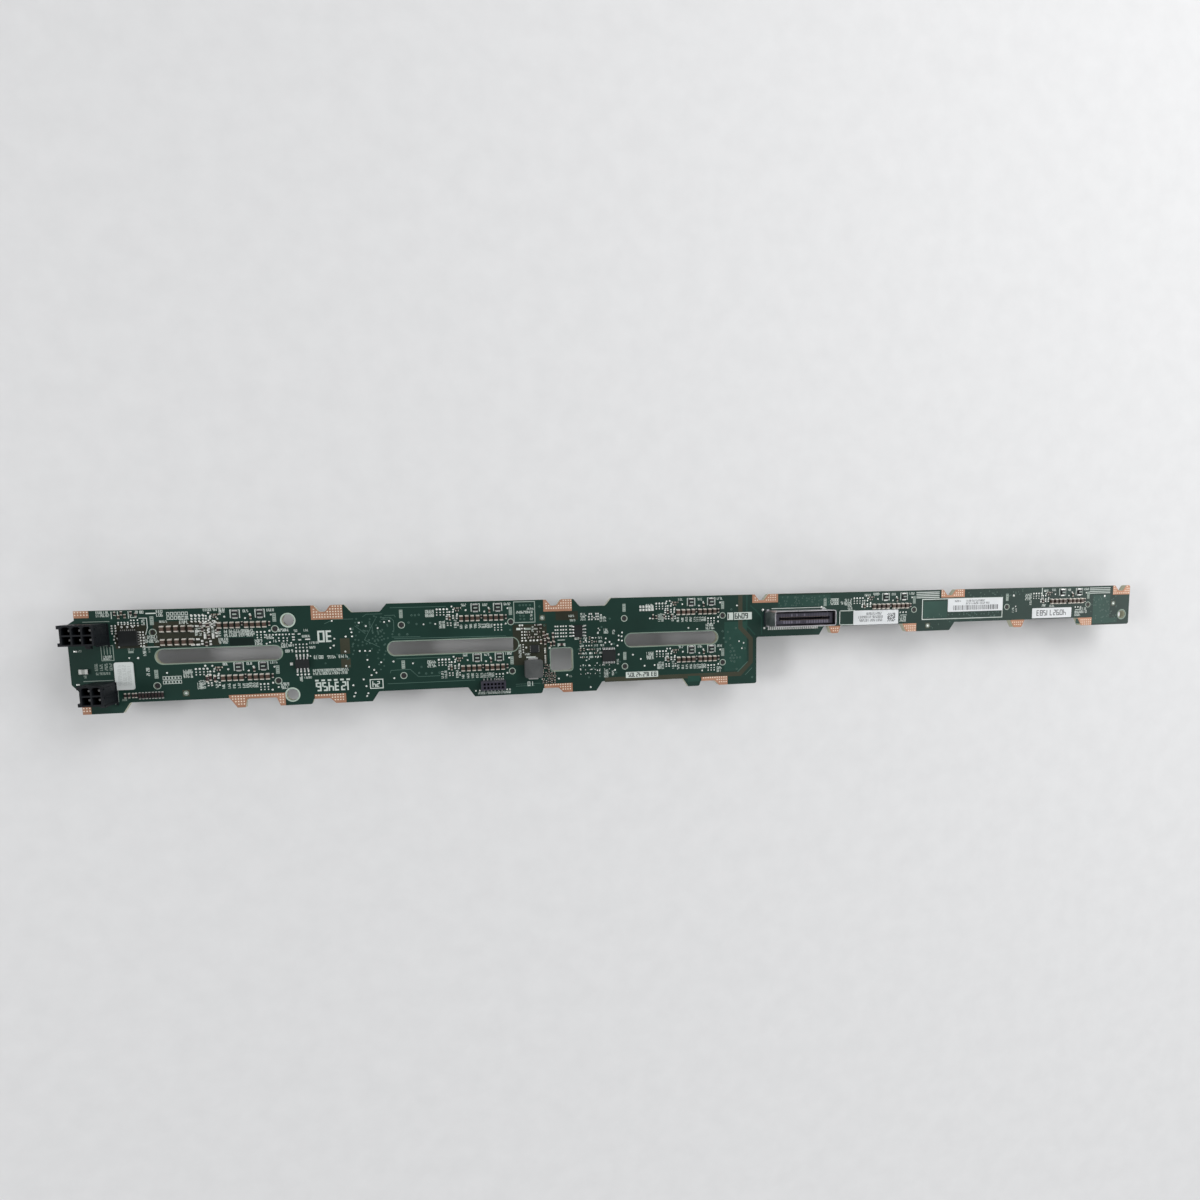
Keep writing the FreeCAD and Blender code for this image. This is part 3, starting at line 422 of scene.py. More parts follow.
def on_node(name, x, y):
    """Whether the top of a CAD node lies under this place."""
    low, high = box_mm(name)
    start = Vector((x * MM, y * MM, (high[2] + 5) * MM))
    hit, place, _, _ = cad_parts[name].ray_cast(start, Vector((0, 0, -1)))
    return hit and abs(place.z / MM - high[2]) < 0.02


def via(x, y, radius=0.2):
    """Open via under the mask: a faint ring round a dark hole, kept off the edges and the openings."""
    reach = radius * 2.5
    if not all(on_node("backplane_board", x + dx, y + dy) for dx in (-reach, reach) for dy in (-reach, reach)):
        return
    height = FACE + TRACE * 1.5 + len(lines.kinds) * HAIR
    lines.disc(x, y, radius * 1.7, FACE - SINK, height, LINE, 8)
    lines.disc(x, y, radius * 0.8, FACE - SINK, height + TRACE * 0.2, GAP, 8)


def fiducial(x, y):
    """Round tinned target in a cleared square of the mask."""
    lines.block(x - 1.1, x + 1.1, y - 1.1, y + 1.1, FACE - SINK, FACE + TRACE, POWER)
    pads.ring(x, y, 0.55, 0.85, FACE - SINK, FACE + PAD * 0.7, BARE, 20)
    pads.disc(x, y, 0.42, FACE - SINK, FACE + PAD, BRIGHT, 20)


def capsule(x0, x1, y0, y1, kind=WHITE):
    """Printed mark with half-round ends, upright."""
    radius, middle = (x1 - x0) / 2, (x0 + x1) / 2
    arc = [math.pi * i / 8 for i in range(9)]
    outline = [(middle + radius * math.cos(a), y1 - radius + radius * math.sin(a)) for a in arc]
    outline += [(middle - radius * math.cos(a), y0 + radius - radius * math.sin(a)) for a in arc]
    silk.prism(outline, FACE - SINK, FACE + SILK, kind)


# ---- one drive bay --------------------------------------------------------------------------------------------
CAP_COLUMNS = (20.7, 22.7, 24.6, 26.5, 29.2, 31.1, 33.0, 34.9)
CAP_RISE = 1.7
CAP_LENGTH, CAP_WIDTH, CAP_HEIGHT = 2.0, 1.25, 0.94
SWITCH_COLUMNS = (25.8, 33.7)
SWITCH_RISE = 5.3
SWITCH_TOP = 0.8


def bay_pegs(x, y):
    for peg in (x, x + PEG_SPACING):
        # The inner ring is painted shade of the peg hole; the outer ring is the pale ring round it.
        pads.ring(peg, y, PEG_HOLE_RADIUS + 0.01, 0.99, FACE - SINK, FACE + PAD * 0.5, HOLE_SHADE_RING)
        pads.ring(peg, y, 0.99, 1.2, FACE - SINK, FACE + PAD * 0.5, RING)
        digits(silk, peg - 0.45, y + 5.2, (8, 0, 8, 8), 0.9, 0.26, DOWN, GREY)


def bay_switch_marks(x, y, rng):
    for place in SWITCH_COLUMNS:
        for side in (-1, 1):
            edge = x + place + side * 1.45
            bar(edge - 0.17, edge + 0.17, y + 4.0, y + 6.9)
            hook = edge - side * 0.45
            bar(min(edge, hook), max(edge, hook), y + 6.65, y + 6.9)
        # Painted highlight: a pale grey band across the top of each switch stands for the sheen of its glossy top.
        switch_sheen_z = FACE + SWITCH_TOP
        silk.block(x + place - 0.65, x + place + 0.65, y + SWITCH_RISE - 0.22, y + SWITCH_RISE + 0.28,
                   switch_sheen_z - SINK, switch_sheen_z + SILK, GREY)
        for side in (-1, 1):
            pad(x + place, y + SWITCH_RISE + side * 1.35, 1.5, 0.3)
    number_field(x + 20.9, x + 23.0, y + 6.0, y + 6.8, 0.75, rng)
    number_field(x + 28.4, x + 30.2, y + 5.9, y + 6.7, 0.75, rng)
    number_field(x + 36.0, x + 38.3, y + 6.0, y + 6.8, 0.75, rng)


def bay_detail(number):
    """Everything printed and soldered round one drive receptacle's pegs."""
    x, y = bay_peg(number)
    rng = random.Random(100 + number)
    labelled = number in SINGLE_BAYS
    bay_pegs(x, y)
    bay_switch_marks(x, y, rng)
    number_field(x + 8.4, x + 11.2, y + 2.5, y + 4.9, 0.95, rng)
    dot_grid([x + 12.3 + i * 1.2 for i in range(4)], [y + 5.1], 0.75)
    dot_grid([x + 12.3 + i * 1.2 for i in range(4)], [y + 4.05, y + 3.15], 0.5)
    for place, rise in ((16.7, 4.1), (17.9, 4.1), (17.5, 6.0), (18.1, 4.9), (22.4, 4.6), (28.9, 3.9), (30.5, 5.2),
                        (37.2, 4.9), (19.3, 3.2), (16.6, 3.1)):
        dot(x + place, y + rise, 0.68)
    for place, rise in ((18.9, 5.4), (20.2, 5.4), (19.4, 4.5)):
        chip_part(x + place, y + rise, 1.0, 0.5, 0.4, False, rng.choice((BROWN, DARK)))
    for place, rise in ((16.7, 1.9), (30.7, 4.2)):
        chip_part(x + place, y + rise, 1.3, 0.6, 0.4, True, rng.choice((BROWN, DARK)))
    for place, rise in ((15.7, 2.1), (17.9, 2.3), (19.2, 2.2)):
        for step in (-0.42, 0.42):
            pad(x + place, y + rise + step, 0.62, 0.5)
    for place in CAP_COLUMNS:
        chip_part(x + place, y + CAP_RISE, CAP_LENGTH, CAP_WIDTH, CAP_HEIGHT)
    chip_part(x + 27.8, y + 2.2, 1.2, 0.5, 0.4, True, DARK)
    chip_part(x + 36.5, y + 1.9, 1.4, 0.6, 0.4, True, DARK)
    if labelled:
        dot_grid([x + 32.2 + i * 1.25 for i in range(3)], [y - 0.9], 0.68)
        bar(x + 32.2, x + 35.0, y - 2.1, y - 1.85)
        number_field(x + 32.1, x + 35.2, y - 4.6, y - 2.5, 0.85, rng)
        return
    for place in (13.0, 14.2, 18.2):
        number_field(x + place, x + place + 0.7, y - 1.9, y + 1.2, 0.72, rng, True)
    for place in (15.9, 17.0, 19.5):
        for step in (-0.42, 0.42):
            pad(x + place, y - 0.2 + step, 0.5, 0.42)
    for place in (20.2, 22.0, 23.6, 25.2, 26.7, 27.8, 28.8, 29.8, 30.8):
        number_field(x + place, x + place + 0.8, y - 1.95, y - 0.3, 0.72, rng, True)
    dot_grid([x + 32.4 + i * 1.2 for i in range(3)], [y - 0.9], 0.7)
    dot_grid([x + 32.4 + i * 1.2 for i in range(3)], [y - 1.9, y - 2.8], 0.5)
    dot(x + 36.4, y - 0.6, 0.7)


def peg_field(x0, x1, y0, y1, columns, rows, size=0.9):
    """Printed field of hollow cells, as a jumper or option table."""
    wide, high = (x1 - x0) / columns, (y1 - y0) / rows
    for i in range(columns):
        for j in range(rows):
            cx, cy = x0 + (i + 0.5) * wide, y0 + (j + 0.5) * high
            outline_mark(cx - size / 2, cx + size / 2, cy - high * 0.4, cy + high * 0.4, 0.17)


# ---- the zone of the power headers and the first bays ---------------------------------------------------------
def power_zone():
    rng = random.Random(11)
    area(-176.2, -155.6, 4.4, 12.9, SHADE)
    area(-187.9, -178.2, 4.4, 12.2, SHADE)
    number_field(-192.8, -188.6, 14.1, 16.7, 0.72, rng)
    for x, y in ((-187.3, 15.9), (-185.3, 16.0), (-184.3, 15.0), (-186.2, 14.8), (-182.4, 15.9), (-181.0, 15.4)):
        chip_part(x, y, 1.2, 0.6, 0.45, True, rng.choice((BROWN, DARK)))
    for x in (-188.3, -186.4, -183.2):
        bar(x - 0.12, x + 0.12, 14.2, 16.6)
    printed_line([(-182.6, 16.6), (-182.6, 14.5), (-180.8, 14.5)])
    printed_line([(-180.2, 14.2), (-177.8, 14.2), (-177.8, 11.0), (-178.5, 8.7)])
    dot_grid((-188.6, -187.5), (11.9, 11.1, 10.2, 9.4), 0.62)
    for x, y in ((-188.0, 8.5), (-187.2, 7.8), (-188.2, 7.4), (-186.8, 7.1), (-187.9, 6.3), (-186.8, 6.0), (-186.8, 4.9)):
        dot(x, y, 0.6)
    dot_grid((-186.5, -185.5, -184.6, -183.6), (12.9, 12.3), 0.55)
    dot_grid((-185.6, -183.9, -182.3), (11.4,), 0.8)
    dot_grid((-182.6, -181.7, -180.6), (13.6, 12.6, 11.8), 0.55)
    dot_grid((-180.2, -179.3), [9.6 - 0.92 * i for i in range(6)], 0.62)
    number_field(-179.4, -178.4, 11.7, 13.7, 0.8, rng, True)
    bar(-178.0, -174.9, 15.5, 15.9)
    number_field(-181.0, -178.4, 15.5, 16.6, 0.8, rng)
    number_field(-174.7, -172.3, 13.7, 16.7, 0.85, rng)
    peg_field(-171.8, -165.0, 13.3, 16.1, 6, 2)
    number_field(-174.0, -171.5, 11.8, 13.2, 0.6, rng)
    number_field(-167.2, -165.0, 11.9, 13.0, 0.6, rng)
    number_field(-178.8, -174.7, 4.9, 8.3, 0.9, rng)
    printed_line([(-179.0, 4.6), (-174.6, 4.6)])
    for x in (-164.2, -162.6):
        for y in (11.1, 9.4, 6.7, 4.9):
            pad(x, y, 1.15, 0.6)
    for x, y in ((-160.3, 7.6), (-157.8, 7.6)):
        pad(x, y, 0.75, 1.7)
    for x, y in ((-161.4, 11.6), (-159.0, 11.4), (-161.0, 9.9), (-159.1, 7.4), (-160.0, 5.0), (-156.2, 9.6)):
        chip_part(x, y, 1.3, 0.65, 0.45, True, DARK)
    for x, y in ((-160.2, 11.6), (-157.9, 11.2), (-159.0, 9.6), (-161.3, 5.6), (-158.7, 5.4), (-156.6, 8.0)):
        for step in (-0.5, 0.5):
            pad(x, y + step, 0.7, 0.6)
    dot_grid([-164.2 + 1.2 * i for i in range(4)], (14.8, 13.6, 12.7), 0.62)
    for x, y in ((-159.6, 14.4), (-158.4, 14.0), (-157.2, 14.6), (-156.1, 13.4), (-155.2, 14.9), (-158.9, 12.9),
                 (-157.6, 12.7), (-156.6, 12.2)):
        dot(x, y, 0.6)
    number_field(-160.3, -153.2, 15.8, 16.8, 0.75, rng)
    number_field(-154.2, -145.3, 7.1, 9.5, 0.95, rng)
    number_field(-156.1, -153.3, 4.2, 6.8, 0.75, rng)
    area(-152.8, -145.1, 4.1, 6.7, GAP)
    number_field(-144.7, -142.3, 4.1, 6.0, 0.75, rng)
    number_field(-140.9, -138.9, 6.0, 6.9, 0.8, rng)
    dot(-140.0, 4.9)
    dot(-141.1, 4.4)
    number_field(-138.8, -137.8, 4.2, 5.6, 0.7, rng)
    # between and under the headers
    pad(-199.9, 3.9, 1.0, 0.55)
    number_field(-199.0, -197.9, 3.5, 4.3, 0.6, rng, kind=GREY)
    pad(-200.0, -7.0, 0.9, 0.45)
    number_field(-196.6, -195.0, 4.7, 5.5, 0.6, rng, kind=GREY)
    outline_mark(-192.4, -188.6, 0.5, 5.6, 0.2, GREY)
    for x in (-191.4, -190.5, -189.6):
        bar(x - 0.08, x + 0.08, 2.6, 5.3, GREY)
    number_field(-191.8, -189.0, 0.8, 2.2, 0.55, rng)
    for x in (-194.6, -193.1, -191.6, -190.2):
        number_field(x, x + 0.8, -3.0, -0.4, 0.75, rng, True, GREY)
    number_field(-194.4, -189.8, -4.4, -3.3, 0.7, rng, kind=GREY)
    fuse_low, fuse_high = box_mm("chip_fuse")
    for x0, x1 in ((fuse_low[0], fuse_low[0] + 0.75), (fuse_high[0] - 0.75, fuse_high[0])):
        pads.block(x0 - 0.12, x1, fuse_low[1] - 0.05, fuse_high[1] + 0.05, FACE - SINK, fuse_high[2] + 0.04, BRIGHT)
    number_field(-198.1, -196.9, -5.0, -4.1, 0.8, rng, kind=GREY)
    printed_line([(-198.4, -6.0), (-189.4, -6.0)], 0.22, GREY)
    printed_line([(-189.0, 13.4), (-197.0, 13.4)], 0.2, GREY)
    printed_line([(-188.4, -7.5), (-188.4, -13.2), (-189.6, -14.0)], 0.2, GREY)
    bar(-184.2, -182.6, 2.8, 3.5, GREY)
    number_field(-184.2, -182.4, 3.6, 4.3, 0.6, rng, kind=GREY)
    dot(-184.1, 1.2, 0.55)
    dot(-181.4, 1.1, 0.7)
    number_field(-179.7, -178.9, 1.8, 4.8, 0.8, rng, True)
    number_field(-178.1, -177.5, 2.8, 4.3, 0.5, rng, True, GREY)
    number_field(-179.2, -178.3, -4.9, -2.4, 0.85, rng, True)
    dot(-173.0, -4.2, 0.65)
    peg_field(-174.5, -168.6, -8.1, -5.2, 6, 2)
    number_field(-167.8, -164.9, -6.2, -3.9, 0.9, rng)
    number_field(-163.8, -161.9, -10.2, -8.0, 0.85, rng)
    dot(-161.0, -2.3, 0.75)
    for x, y, parts in ((-160.7, -6.7, 2.2), (-159.6, -6.4, 1.9), (-158.2, -6.8, 2.0)):
        chip_part(x, y, parts, 0.7, 0.45, True, DARK)
    for x in (-186.3, -185.1, -183.9, -183.0):
        chip_part(x, -11.3, 1.6, 0.6, 0.45, True, DARK)
    resistor_low, resistor_high = box_mm("chip_resistors")
    for i in range(8):
        x = resistor_low[0] + 0.3 + i
        for y in (resistor_low[1], resistor_high[1]):
            pad(x, y, 0.62, 0.5, PAD * 3)
    number_field(-187.4, -185.6, -13.1, -12.4, 0.55, rng, kind=GREY)
    fiducial(-167.6, -11.3)


# ---- the zone of the temperature sensor, between the first and second bays ------------------------------------
def sensor_zone():
    rng = random.Random(12)
    for hole_y in (12.2, -13.4):
        pads.ring(-133.8, hole_y, 2.0, 2.5, FACE - SINK, FACE + PAD * 0.5, RING, 36)
    dot_grid([-141.0 + 1.05 * i for i in range(8)], (7.4,), 0.6)
    number_field(-137.2, -133.0, 8.4, 9.3, 0.8, rng)
    number_field(-132.0, -130.9, 8.2, 8.9, 0.7, rng)
    number_field(-128.8, -126.8, 7.4, 9.0, 0.7, rng)
    for x, y, w in ((-132.3, 7.4, 0.9), (-132.3, 6.4, 0.9), (-132.3, 5.5, 0.8), (-130.4, 7.4, 0.9), (-130.3, 5.4, 0.9),
                    (-127.7, 5.5, 1.6)):
        pad(x, y, w, 0.45)
    number_field(-129.5, -126.6, 6.2, 6.9, 0.65, rng)
    for x, y in ((-138.9, 6.3), (-137.1, 6.2), (-137.0, 5.3), (-135.6, 6.2), (-135.6, 5.2), (-134.4, 6.1), (-134.4, 5.3),
                 (-133.2, 4.4), (-127.2, -0.3)):
        dot(x, y, 0.55)
    number_field(-136.4, -134.4, 2.9, 4.5, 0.65, rng)
    number_field(-134.2, -132.3, 3.2, 3.9, 0.65, rng)
    number_field(-135.2, -132.3, 1.2, 2.1, 0.8, rng)
    dot_grid((-131.7, -130.5, -129.4, -128.2), (3.8, 2.7), 0.55)
    number_field(-127.2, -124.0, 3.9, 4.6, 0.65, rng)
    number_field(-127.4, -125.0, 2.3, 3.0, 0.65, rng)
    for x in (-131.7, -130.5, -129.3, -128.1):
        pad(x, 1.5, 0.5, 0.75)
        pad(x, 0.0, 0.5, 1.0)
        pad(x, -5.3, 0.45, 1.1)
        dot(x, -6.6, 0.7)
    pad(-133.5, -2.8, 0.95, 0.95)
    number_field(-131.0, -130.2, -9.0, -7.3, 0.75, rng, True)
    number_field(-129.5, -127.0, -8.7, -7.4, 0.6, rng)
    number_field(-137.3, -134.8, -11.4, -9.2, 0.85, rng)
    dot(-138.2, -10.6, 0.6)
    dot(-140.2, -11.4, 0.7)
    # plain numbers where the real board prints its marks
    number_field(-126.0, -122.6, -1.4, -0.3, 1.0, rng)
    number_field(-121.6, -118.6, -1.3, -0.4, 0.9, rng)
    number_field(-117.8, -114.6, -1.3, -0.3, 0.95, rng)
    number_field(-126.6, -114.4, -6.9, -5.0, 0.78, rng)
    digits(silk, -125.8, -12.4, (1, 2, 3, 4, 5, 6), 2.6, 0.5)
    for i in range(6):
        bar(-126.2 + i * 2.08, -125.0 + i * 2.08, -9.2, -8.6)
    digits(silk, -124.2, 4.6, (3, 0), 3.4, 0.62)
    outline_mark(-108.0, -103.4, -12.6, -9.2, 0.3)
    digits(silk, -107.0, -11.8, (2, 4), 1.7, 0.3)
    area(-117.2, -114.0, 0.0, 5.4, POWER)
    area(-117.2, -114.0, -4.8, -1.6, POWER)
    for x, y in ((-119.5, 11.5), (-113.5, 8.6), (-113.2, 7.4), (-115.2, 6.0), (-113.1, 6.0), (-119.0, 5.4), (-119.3, 3.0),
                 (-120.5, 2.3), (-115.6, 0.8), (-110.8, 0.8), (-109.0, 0.8), (-107.4, 0.7), (-110.6, 10.6),
                 (-108.3, 9.4), (-104.4, 8.6), (-102.1, 10.6), (-100.4, 10.9), (-88.7, 9.4), (-84.7, 9.4), (-108.4, -2.4),
                 (-103.8, -3.4), (-99.6, -3.3), (-93.0, -4.2), (-108.0, -4.9), (-106.3, -6.0), (-105.6, -7.0),
                 (-107.3, -7.8), (-115.6, -4.2), (-110.0, -9.2), (-99.6, -9.2), (-113.6, -11.1), (-109.2, -11.6),
                 (-113.0, -13.8), (-108.7, -14.1), (-113.5, -15.0), (-109.2, -15.1)):
        dot(x, y, 0.66)
    for _ in range(70):
        via(rng.uniform(-113.5, -99.0), rng.uniform(2.4, 13.0), 0.17)
    for _ in range(26):
        via(rng.uniform(-126.0, -99.0), rng.uniform(-7.6, 1.6), 0.17)
    for route in (((-109.3, 12.6), (-108.0, 13.5), (-102.6, 13.5)), ((-102.0, 12.9), (-98.6, 12.9), (-98.2, 12.2)),
                  ((-103.4, 12.2), (-100.0, 12.2), (-98.9, 11.0), (-98.9, 7.6)), ((-103.2, 11.6), (-100.6, 11.6)),
                  ((-100.0, 15.5), (-80.8, 15.5)), ((-99.0, 4.7), (-60.0, 4.4)), ((-99.8, 5.3), (-90.0, 5.1)),
                  ((-98.6, -2.4), (-80.0, -2.4)), ((-100.9, -7.4), (-100.6, -6.4), (-94.0, -6.3), (-91.3, -9.0),
                                                   (-83.8, -9.0)),
                  ((-102.0, -11.1), (-71.5, -11.1)), ((-112.0, 9.6), (-108.6, 6.8)), ((-122.0, 10.6), (-119.0, 12.0),
                                                                                     (-112.4, 12.0)),
                  ((-104.9, 12.0), (-109.0, 4.6), (-104.0, 1.9)), ((-106.2, 6.6), (-106.2, 9.9))):
        trace(route)
    for x, y in ((-92.7, 12.7), (-91.5, 12.7), (-90.2, 12.8), (-93.8, 10.2), (-94.4, 6.1), (-97.2, 6.1), (-91.1, 9.6),
                 (-86.4, 9.8), (-83.9, -7.9), (-86.6, -7.9), (-88.6, -8.0), (-91.0, -7.7), (-90.1, -5.6)):
        via(x, y, 0.22)


# ---- the zone of the inductor and the square window ------------------------------------------------------------
def converter_zone():
    rng = random.Random(13)
    area(-57.5, -45.2, -6.4, 8.3, SHADE)
    area(-41.8, -33.6, 9.4, 12.6, SHADE)
    outline_mark(-57.0, -49.2, 8.9, 16.6, 0.3, GREY)
    for y in (13.8, 11.4, 10.1):
        number_field(-52.1 if y > 13 else -51.0, -49.7, y - 0.4, y + 0.4, 0.62, rng)
    number_field(-56.0, -49.8, 12.2, 13.1, 0.75, rng)
    for x, y in ((-54.7, 15.2), (-53.5, 15.2), (-52.4, 15.2), (-51.0, 15.2), (-54.6, 11.5), (-53.4, 11.4), (-54.6, 10.3),
                 (-53.2, 10.2), (-58.4, 6.5), (-47.6, 14.6), (-46.0, 7.7)):
        via(x, y, 0.22)
    dot_grid((-54.9, -54.0), (8.0,), 0.75)
    dot_grid((-54.2, -53.2), (6.8, 5.6, 4.5, 3.4), 0.6)
    bar(-56.2, -54.7, 6.3, 7.1)
    bar(-53.3, -51.0, 6.3, 7.0, GREY)
    dot_grid((-54.2, -52.9, -51.2, -50.0, -48.7), (2.4,), 0.75)
    number_field(-50.6, -50.0, 5.2, 7.8, 0.6, rng, True)
    for x, y in ((-52.0, 5.5), (-51.9, 4.5), (-51.5, 3.5), (-49.0, 8.0), (-48.2, 8.0), (-49.1, 6.6), (-48.2, 5.5),
                 (-49.2, 4.6), (-48.0, 3.6), (-50.3, 3.6)):
        chip_part(x, y, 1.0, 0.5, 0.4, False, rng.choice((BROWN, DARK, PALE)))
    for x, y in ((-47.4, 7.4), (-46.4, 4.8), (-46.0, 3.6), (-47.4, 1.9), (-45.0, 3.9), (-44.6, 2.3), (-43.0, 4.2),
                 (-42.9, 2.6), (-45.9, 1.6), (-43.8, 0.9), (-42.6, 1.0)):
        chip_part(x, y, 1.5, 0.7, 0.5, True, rng.choice((BROWN, BROWN, DARK)))
    dot_grid((-53.9,), (1.0, 0.1, -0.9, -1.8), 0.55)
    dot(-52.8, -0.1, 0.8)
    number_field(-55.5, -54.7, -3.7, 1.1, 0.75, rng, True)
    number_field(-53.3, -51.4, -2.9, -2.2, 0.6, rng)
    bar(-52.9, -49.5, -3.9, -3.4)
    digits(silk, -52.6, -14.0, (0,), 1.4, 0.28)
    digits(silk, -50.9, -14.0, (1,), 1.4, 0.28)
    bar(-52.4, -50.3, -11.6, -11.2, GREY)
    for y in (-0.9, -1.9, -3.6, -4.6, -5.6):
        chip_part(-46.0, y, 0.9, 0.6, 0.4, True, rng.choice((BROWN, PALE)))
    for i in range(5):
        for j in range(7):
            if rng.random() < 0.85 and (i < 3 or j > 2):
                chip_part(-46.9 + i * 1.05, -6.8 - j * 1.0, 0.85, 0.5, 0.4, rng.random() < 0.5,
                          rng.choice((BROWN, BROWN, DARK)))
    dot(-44.3, -0.5, 0.8)
    dot(-41.2, -11.9, 0.7)
    dot(-38.1, -10.7, 0.75)
    number_field(-37.2, -36.0, -11.4, -10.9, 0.6, rng, kind=GREY)
    # memory chip and what lies round it
    for y in (7.2, 5.9, 4.7, 3.5):
        for x in (-42.0, -41.2, -40.0, -39.1, -38.1):
            pad(x, y, 0.55, 0.5)
        pad(-36.3, y, 1.3, 0.42)
        pad(-31.2, y, 1.0, 0.42)
    printed_line([(-41.3, 2.2), (-38.6, 2.2)], 0.22)
    for x in (-41.1, -38.7):
        bar(x - 0.2, x + 0.2, -0.1, 1.0)
    chip_part(-39.9, 0.6, 1.5, 0.8, 0.5, False, DARK)
    number_field(-37.0, -35.0, 10.4, 11.2, 0.65, rng)
    number_field(-36.6, -34.6, 8.8, 9.6, 0.65, rng)
    number_field(-35.0, -33.2, 2.1, 2.9, 0.65, rng)
    fiducial(-46.7, 10.5)
    for y in (11.4, 10.4, 9.4):
        number_field(-32.6, -30.4, y - 0.35, y + 0.35, 0.6, rng)
        for x in (-29.4, -28.4, -27.0, -26.0):
            pad(x + rng.uniform(-0.2, 0.2), y, 0.5, 0.55)
    for y in (2.6, 1.2, -0.2, -1.6, -3.0, -4.4):
        x = -33.2 + rng.random()
        while x < -25.0:
            if rng.random() < 0.35:
                number_field(x, x + 1.5, y - 0.35, y + 0.3, 0.6, rng)
                x += 2.3
            elif rng.random() < 0.5:
                chip_part(x, y, 0.9, 0.5, 0.38, rng.random() < 0.5, rng.choice((BROWN, DARK)))
                x += 1.3
            else:
                dot(x, y, 0.5)
                x += 1.0
    for y in (-7.6, -9.1, -10.6):
        for i in range(7):
            dots.dome(-33.0 + i * 1.8, y, 0.17, FACE - SINK, FACE + 0.04)
    for _ in range(26):
        via(rng.uniform(-34.0, -18.0), rng.uniform(-12.0, 11.0), 0.2)
    for _ in range(22):
        dot(rng.uniform(-33.5, -24.5), rng.uniform(-11.5, 11.0), 0.5)
    number_field(-25.4, -23.2, 8.4, 10.3, 0.75, rng)
    number_field(-24.0, -22.3, 4.0, 5.8, 0.7, rng)
    number_field(-20.8, -19.6, 3.4, 5.2, 0.6, rng)
    for x, y in ((-22.0, 0.9), (-21.3, 0.0), (-19.0, -0.6), (-17.2, 4.2), (-23.6, 0.7), (-23.4, 2.2), (-18.5, 3.1),
                 (-17.4, 2.8), (-18.5, 1.5), (-17.3, 1.2), (-18.6, -3.9), (-26.3, 4.3), (-30.9, 1.8), (-32.0, -3.0),
                 (-29.4, -3.0), (-29.8, -7.5), (-34.7, 2.4), (-20.1, -9.6), (-25.0, 10.9), (-29.4, -15.6)):
        dot(x, y, 0.68)
    number_field(-19.3, -18.7, -7.6, -5.4, 0.55, rng, True)
    number_field(-24.2, -22.6, -12.2, -9.4, 0.6, rng, True)
    number_field(-21.2, -19.8, -12.0, -9.8, 0.6, rng, True)
    # sideband header
    number_field(-70.6, -59.0, -16.4, -15.6, 0.7, rng)
    dot_grid((-71.4, -70.0, -60.2, -59.2), (-15.0,), 0.6)
    trace(((-57.0, -13.3), (-48.0, -13.3)))
    trace(((-57.0, -14.0), (-50.0, -14.0)))


# ---- the third bays and the end of the wide part ---------------------------------------------------------------
def bend_zone():
    rng = random.Random(14)
    for i in range(5):
        for y in (13.5, 12.3):
            pad(-10.1 + 1.15 * i, y, 0.72, 0.85)
    for x, y, size in ((-5.3, 9.7, 1.6), (-4.0, 9.5, 1.1), (-1.0, 9.7, 1.3), (1.9, 9.6, 1.6)):
        chip_part(x, y, size, 0.6, 0.4, True, DARK)
    capsule(-2.8, -1.8, 8.4, 10.9, GREY)
    dot(-6.5, 9.1, 0.7)
    for x0, x1 in ((-16.0, -3.6),):
        bar(x0, x1, -12.8, -10.6)
    bar(23.8, 26.1, 7.6, 10.4)
    bar(26.5, 33.6, 7.6, 10.4)
    for x, y, numbers, size in ((-15.2, -12.35, (4, 2, 7, 0, 5), 1.35), (-9.4, -12.35, (8, 3, 1, 6, 2), 1.35),
                                (24.2, 8.15, (1,), 1.7), (26.9, 8.15, (6, 0, 4, 9), 1.7)):
        digits(lines, x, y, numbers, size, size * 0.2, BACK, GAP, FACE + SILK, 0.01)
    for x, y in ((-13.2, -4.2), (-10.2, -5.9), (-8.8, -8.5), (-4.9, -8.4), (8.4, 5.1), (11.8, 4.6), (27.6, 13.0),
                 (28.5, -0.6), (30.3, -1.3), (29.6, -3.3), (20.1, 7.2), (13.7, -11.2), (0.0, 15.2), (0.0, -2.4)):
        dot(x, y, 0.66)
    number_field(15.3, 18.6, 4.3, 6.4, 0.85, rng)
    number_field(-7.9, -5.2, -6.2, -3.9, 0.9, rng)
    number_field(-3.8, -2.0, -9.9, -8.0, 0.75, rng)
    number_field(19.6, 21.8, -12.2, -10.0, 0.8, rng)
    for x, y in ((21.9, 3.4), (24.0, 3.1), (22.4, 0.8), (24.8, 0.6), (23.2, -0.7), (25.0, -2.0), (25.8, -3.1), (25.1, -4.4),
                 (26.5, -4.3), (25.6, -5.9), (26.8, -5.8), (25.0, -6.9), (26.3, -6.9), (27.6, -6.8), (28.9, -6.8),
                 (25.4, -8.0), (26.6, -8.3), (27.5, -11.2), (30.8, -3.4), (27.2, 4.4), (33.8, -14.6), (25.4, 11.6)):
        via(x, y, 0.24)
    trace(((29.0, 17.0), (29.0, 4.6), (33.2, 0.2), (33.2, -8.6), (28.8, -13.1), (-24.0, -13.1)), 1.7, POWER)
    trace(((31.6, 16.8), (31.6, 5.2), (35.0, 1.6)), 0.5, PLANE)
    trace(((27.9, -12.3), (31.9, -8.5)), 0.28)
    trace(((31.0, -13.6), (33.8, -10.9)), 0.2)
    trace(((33.0, 12.9), (35.6, 10.6), (37.6, 8.4), (37.6, 1.6)), 0.5, PLANE)
    trace(((8.0, -14.2), (12.8, -14.2)), 2.2, PLANE)


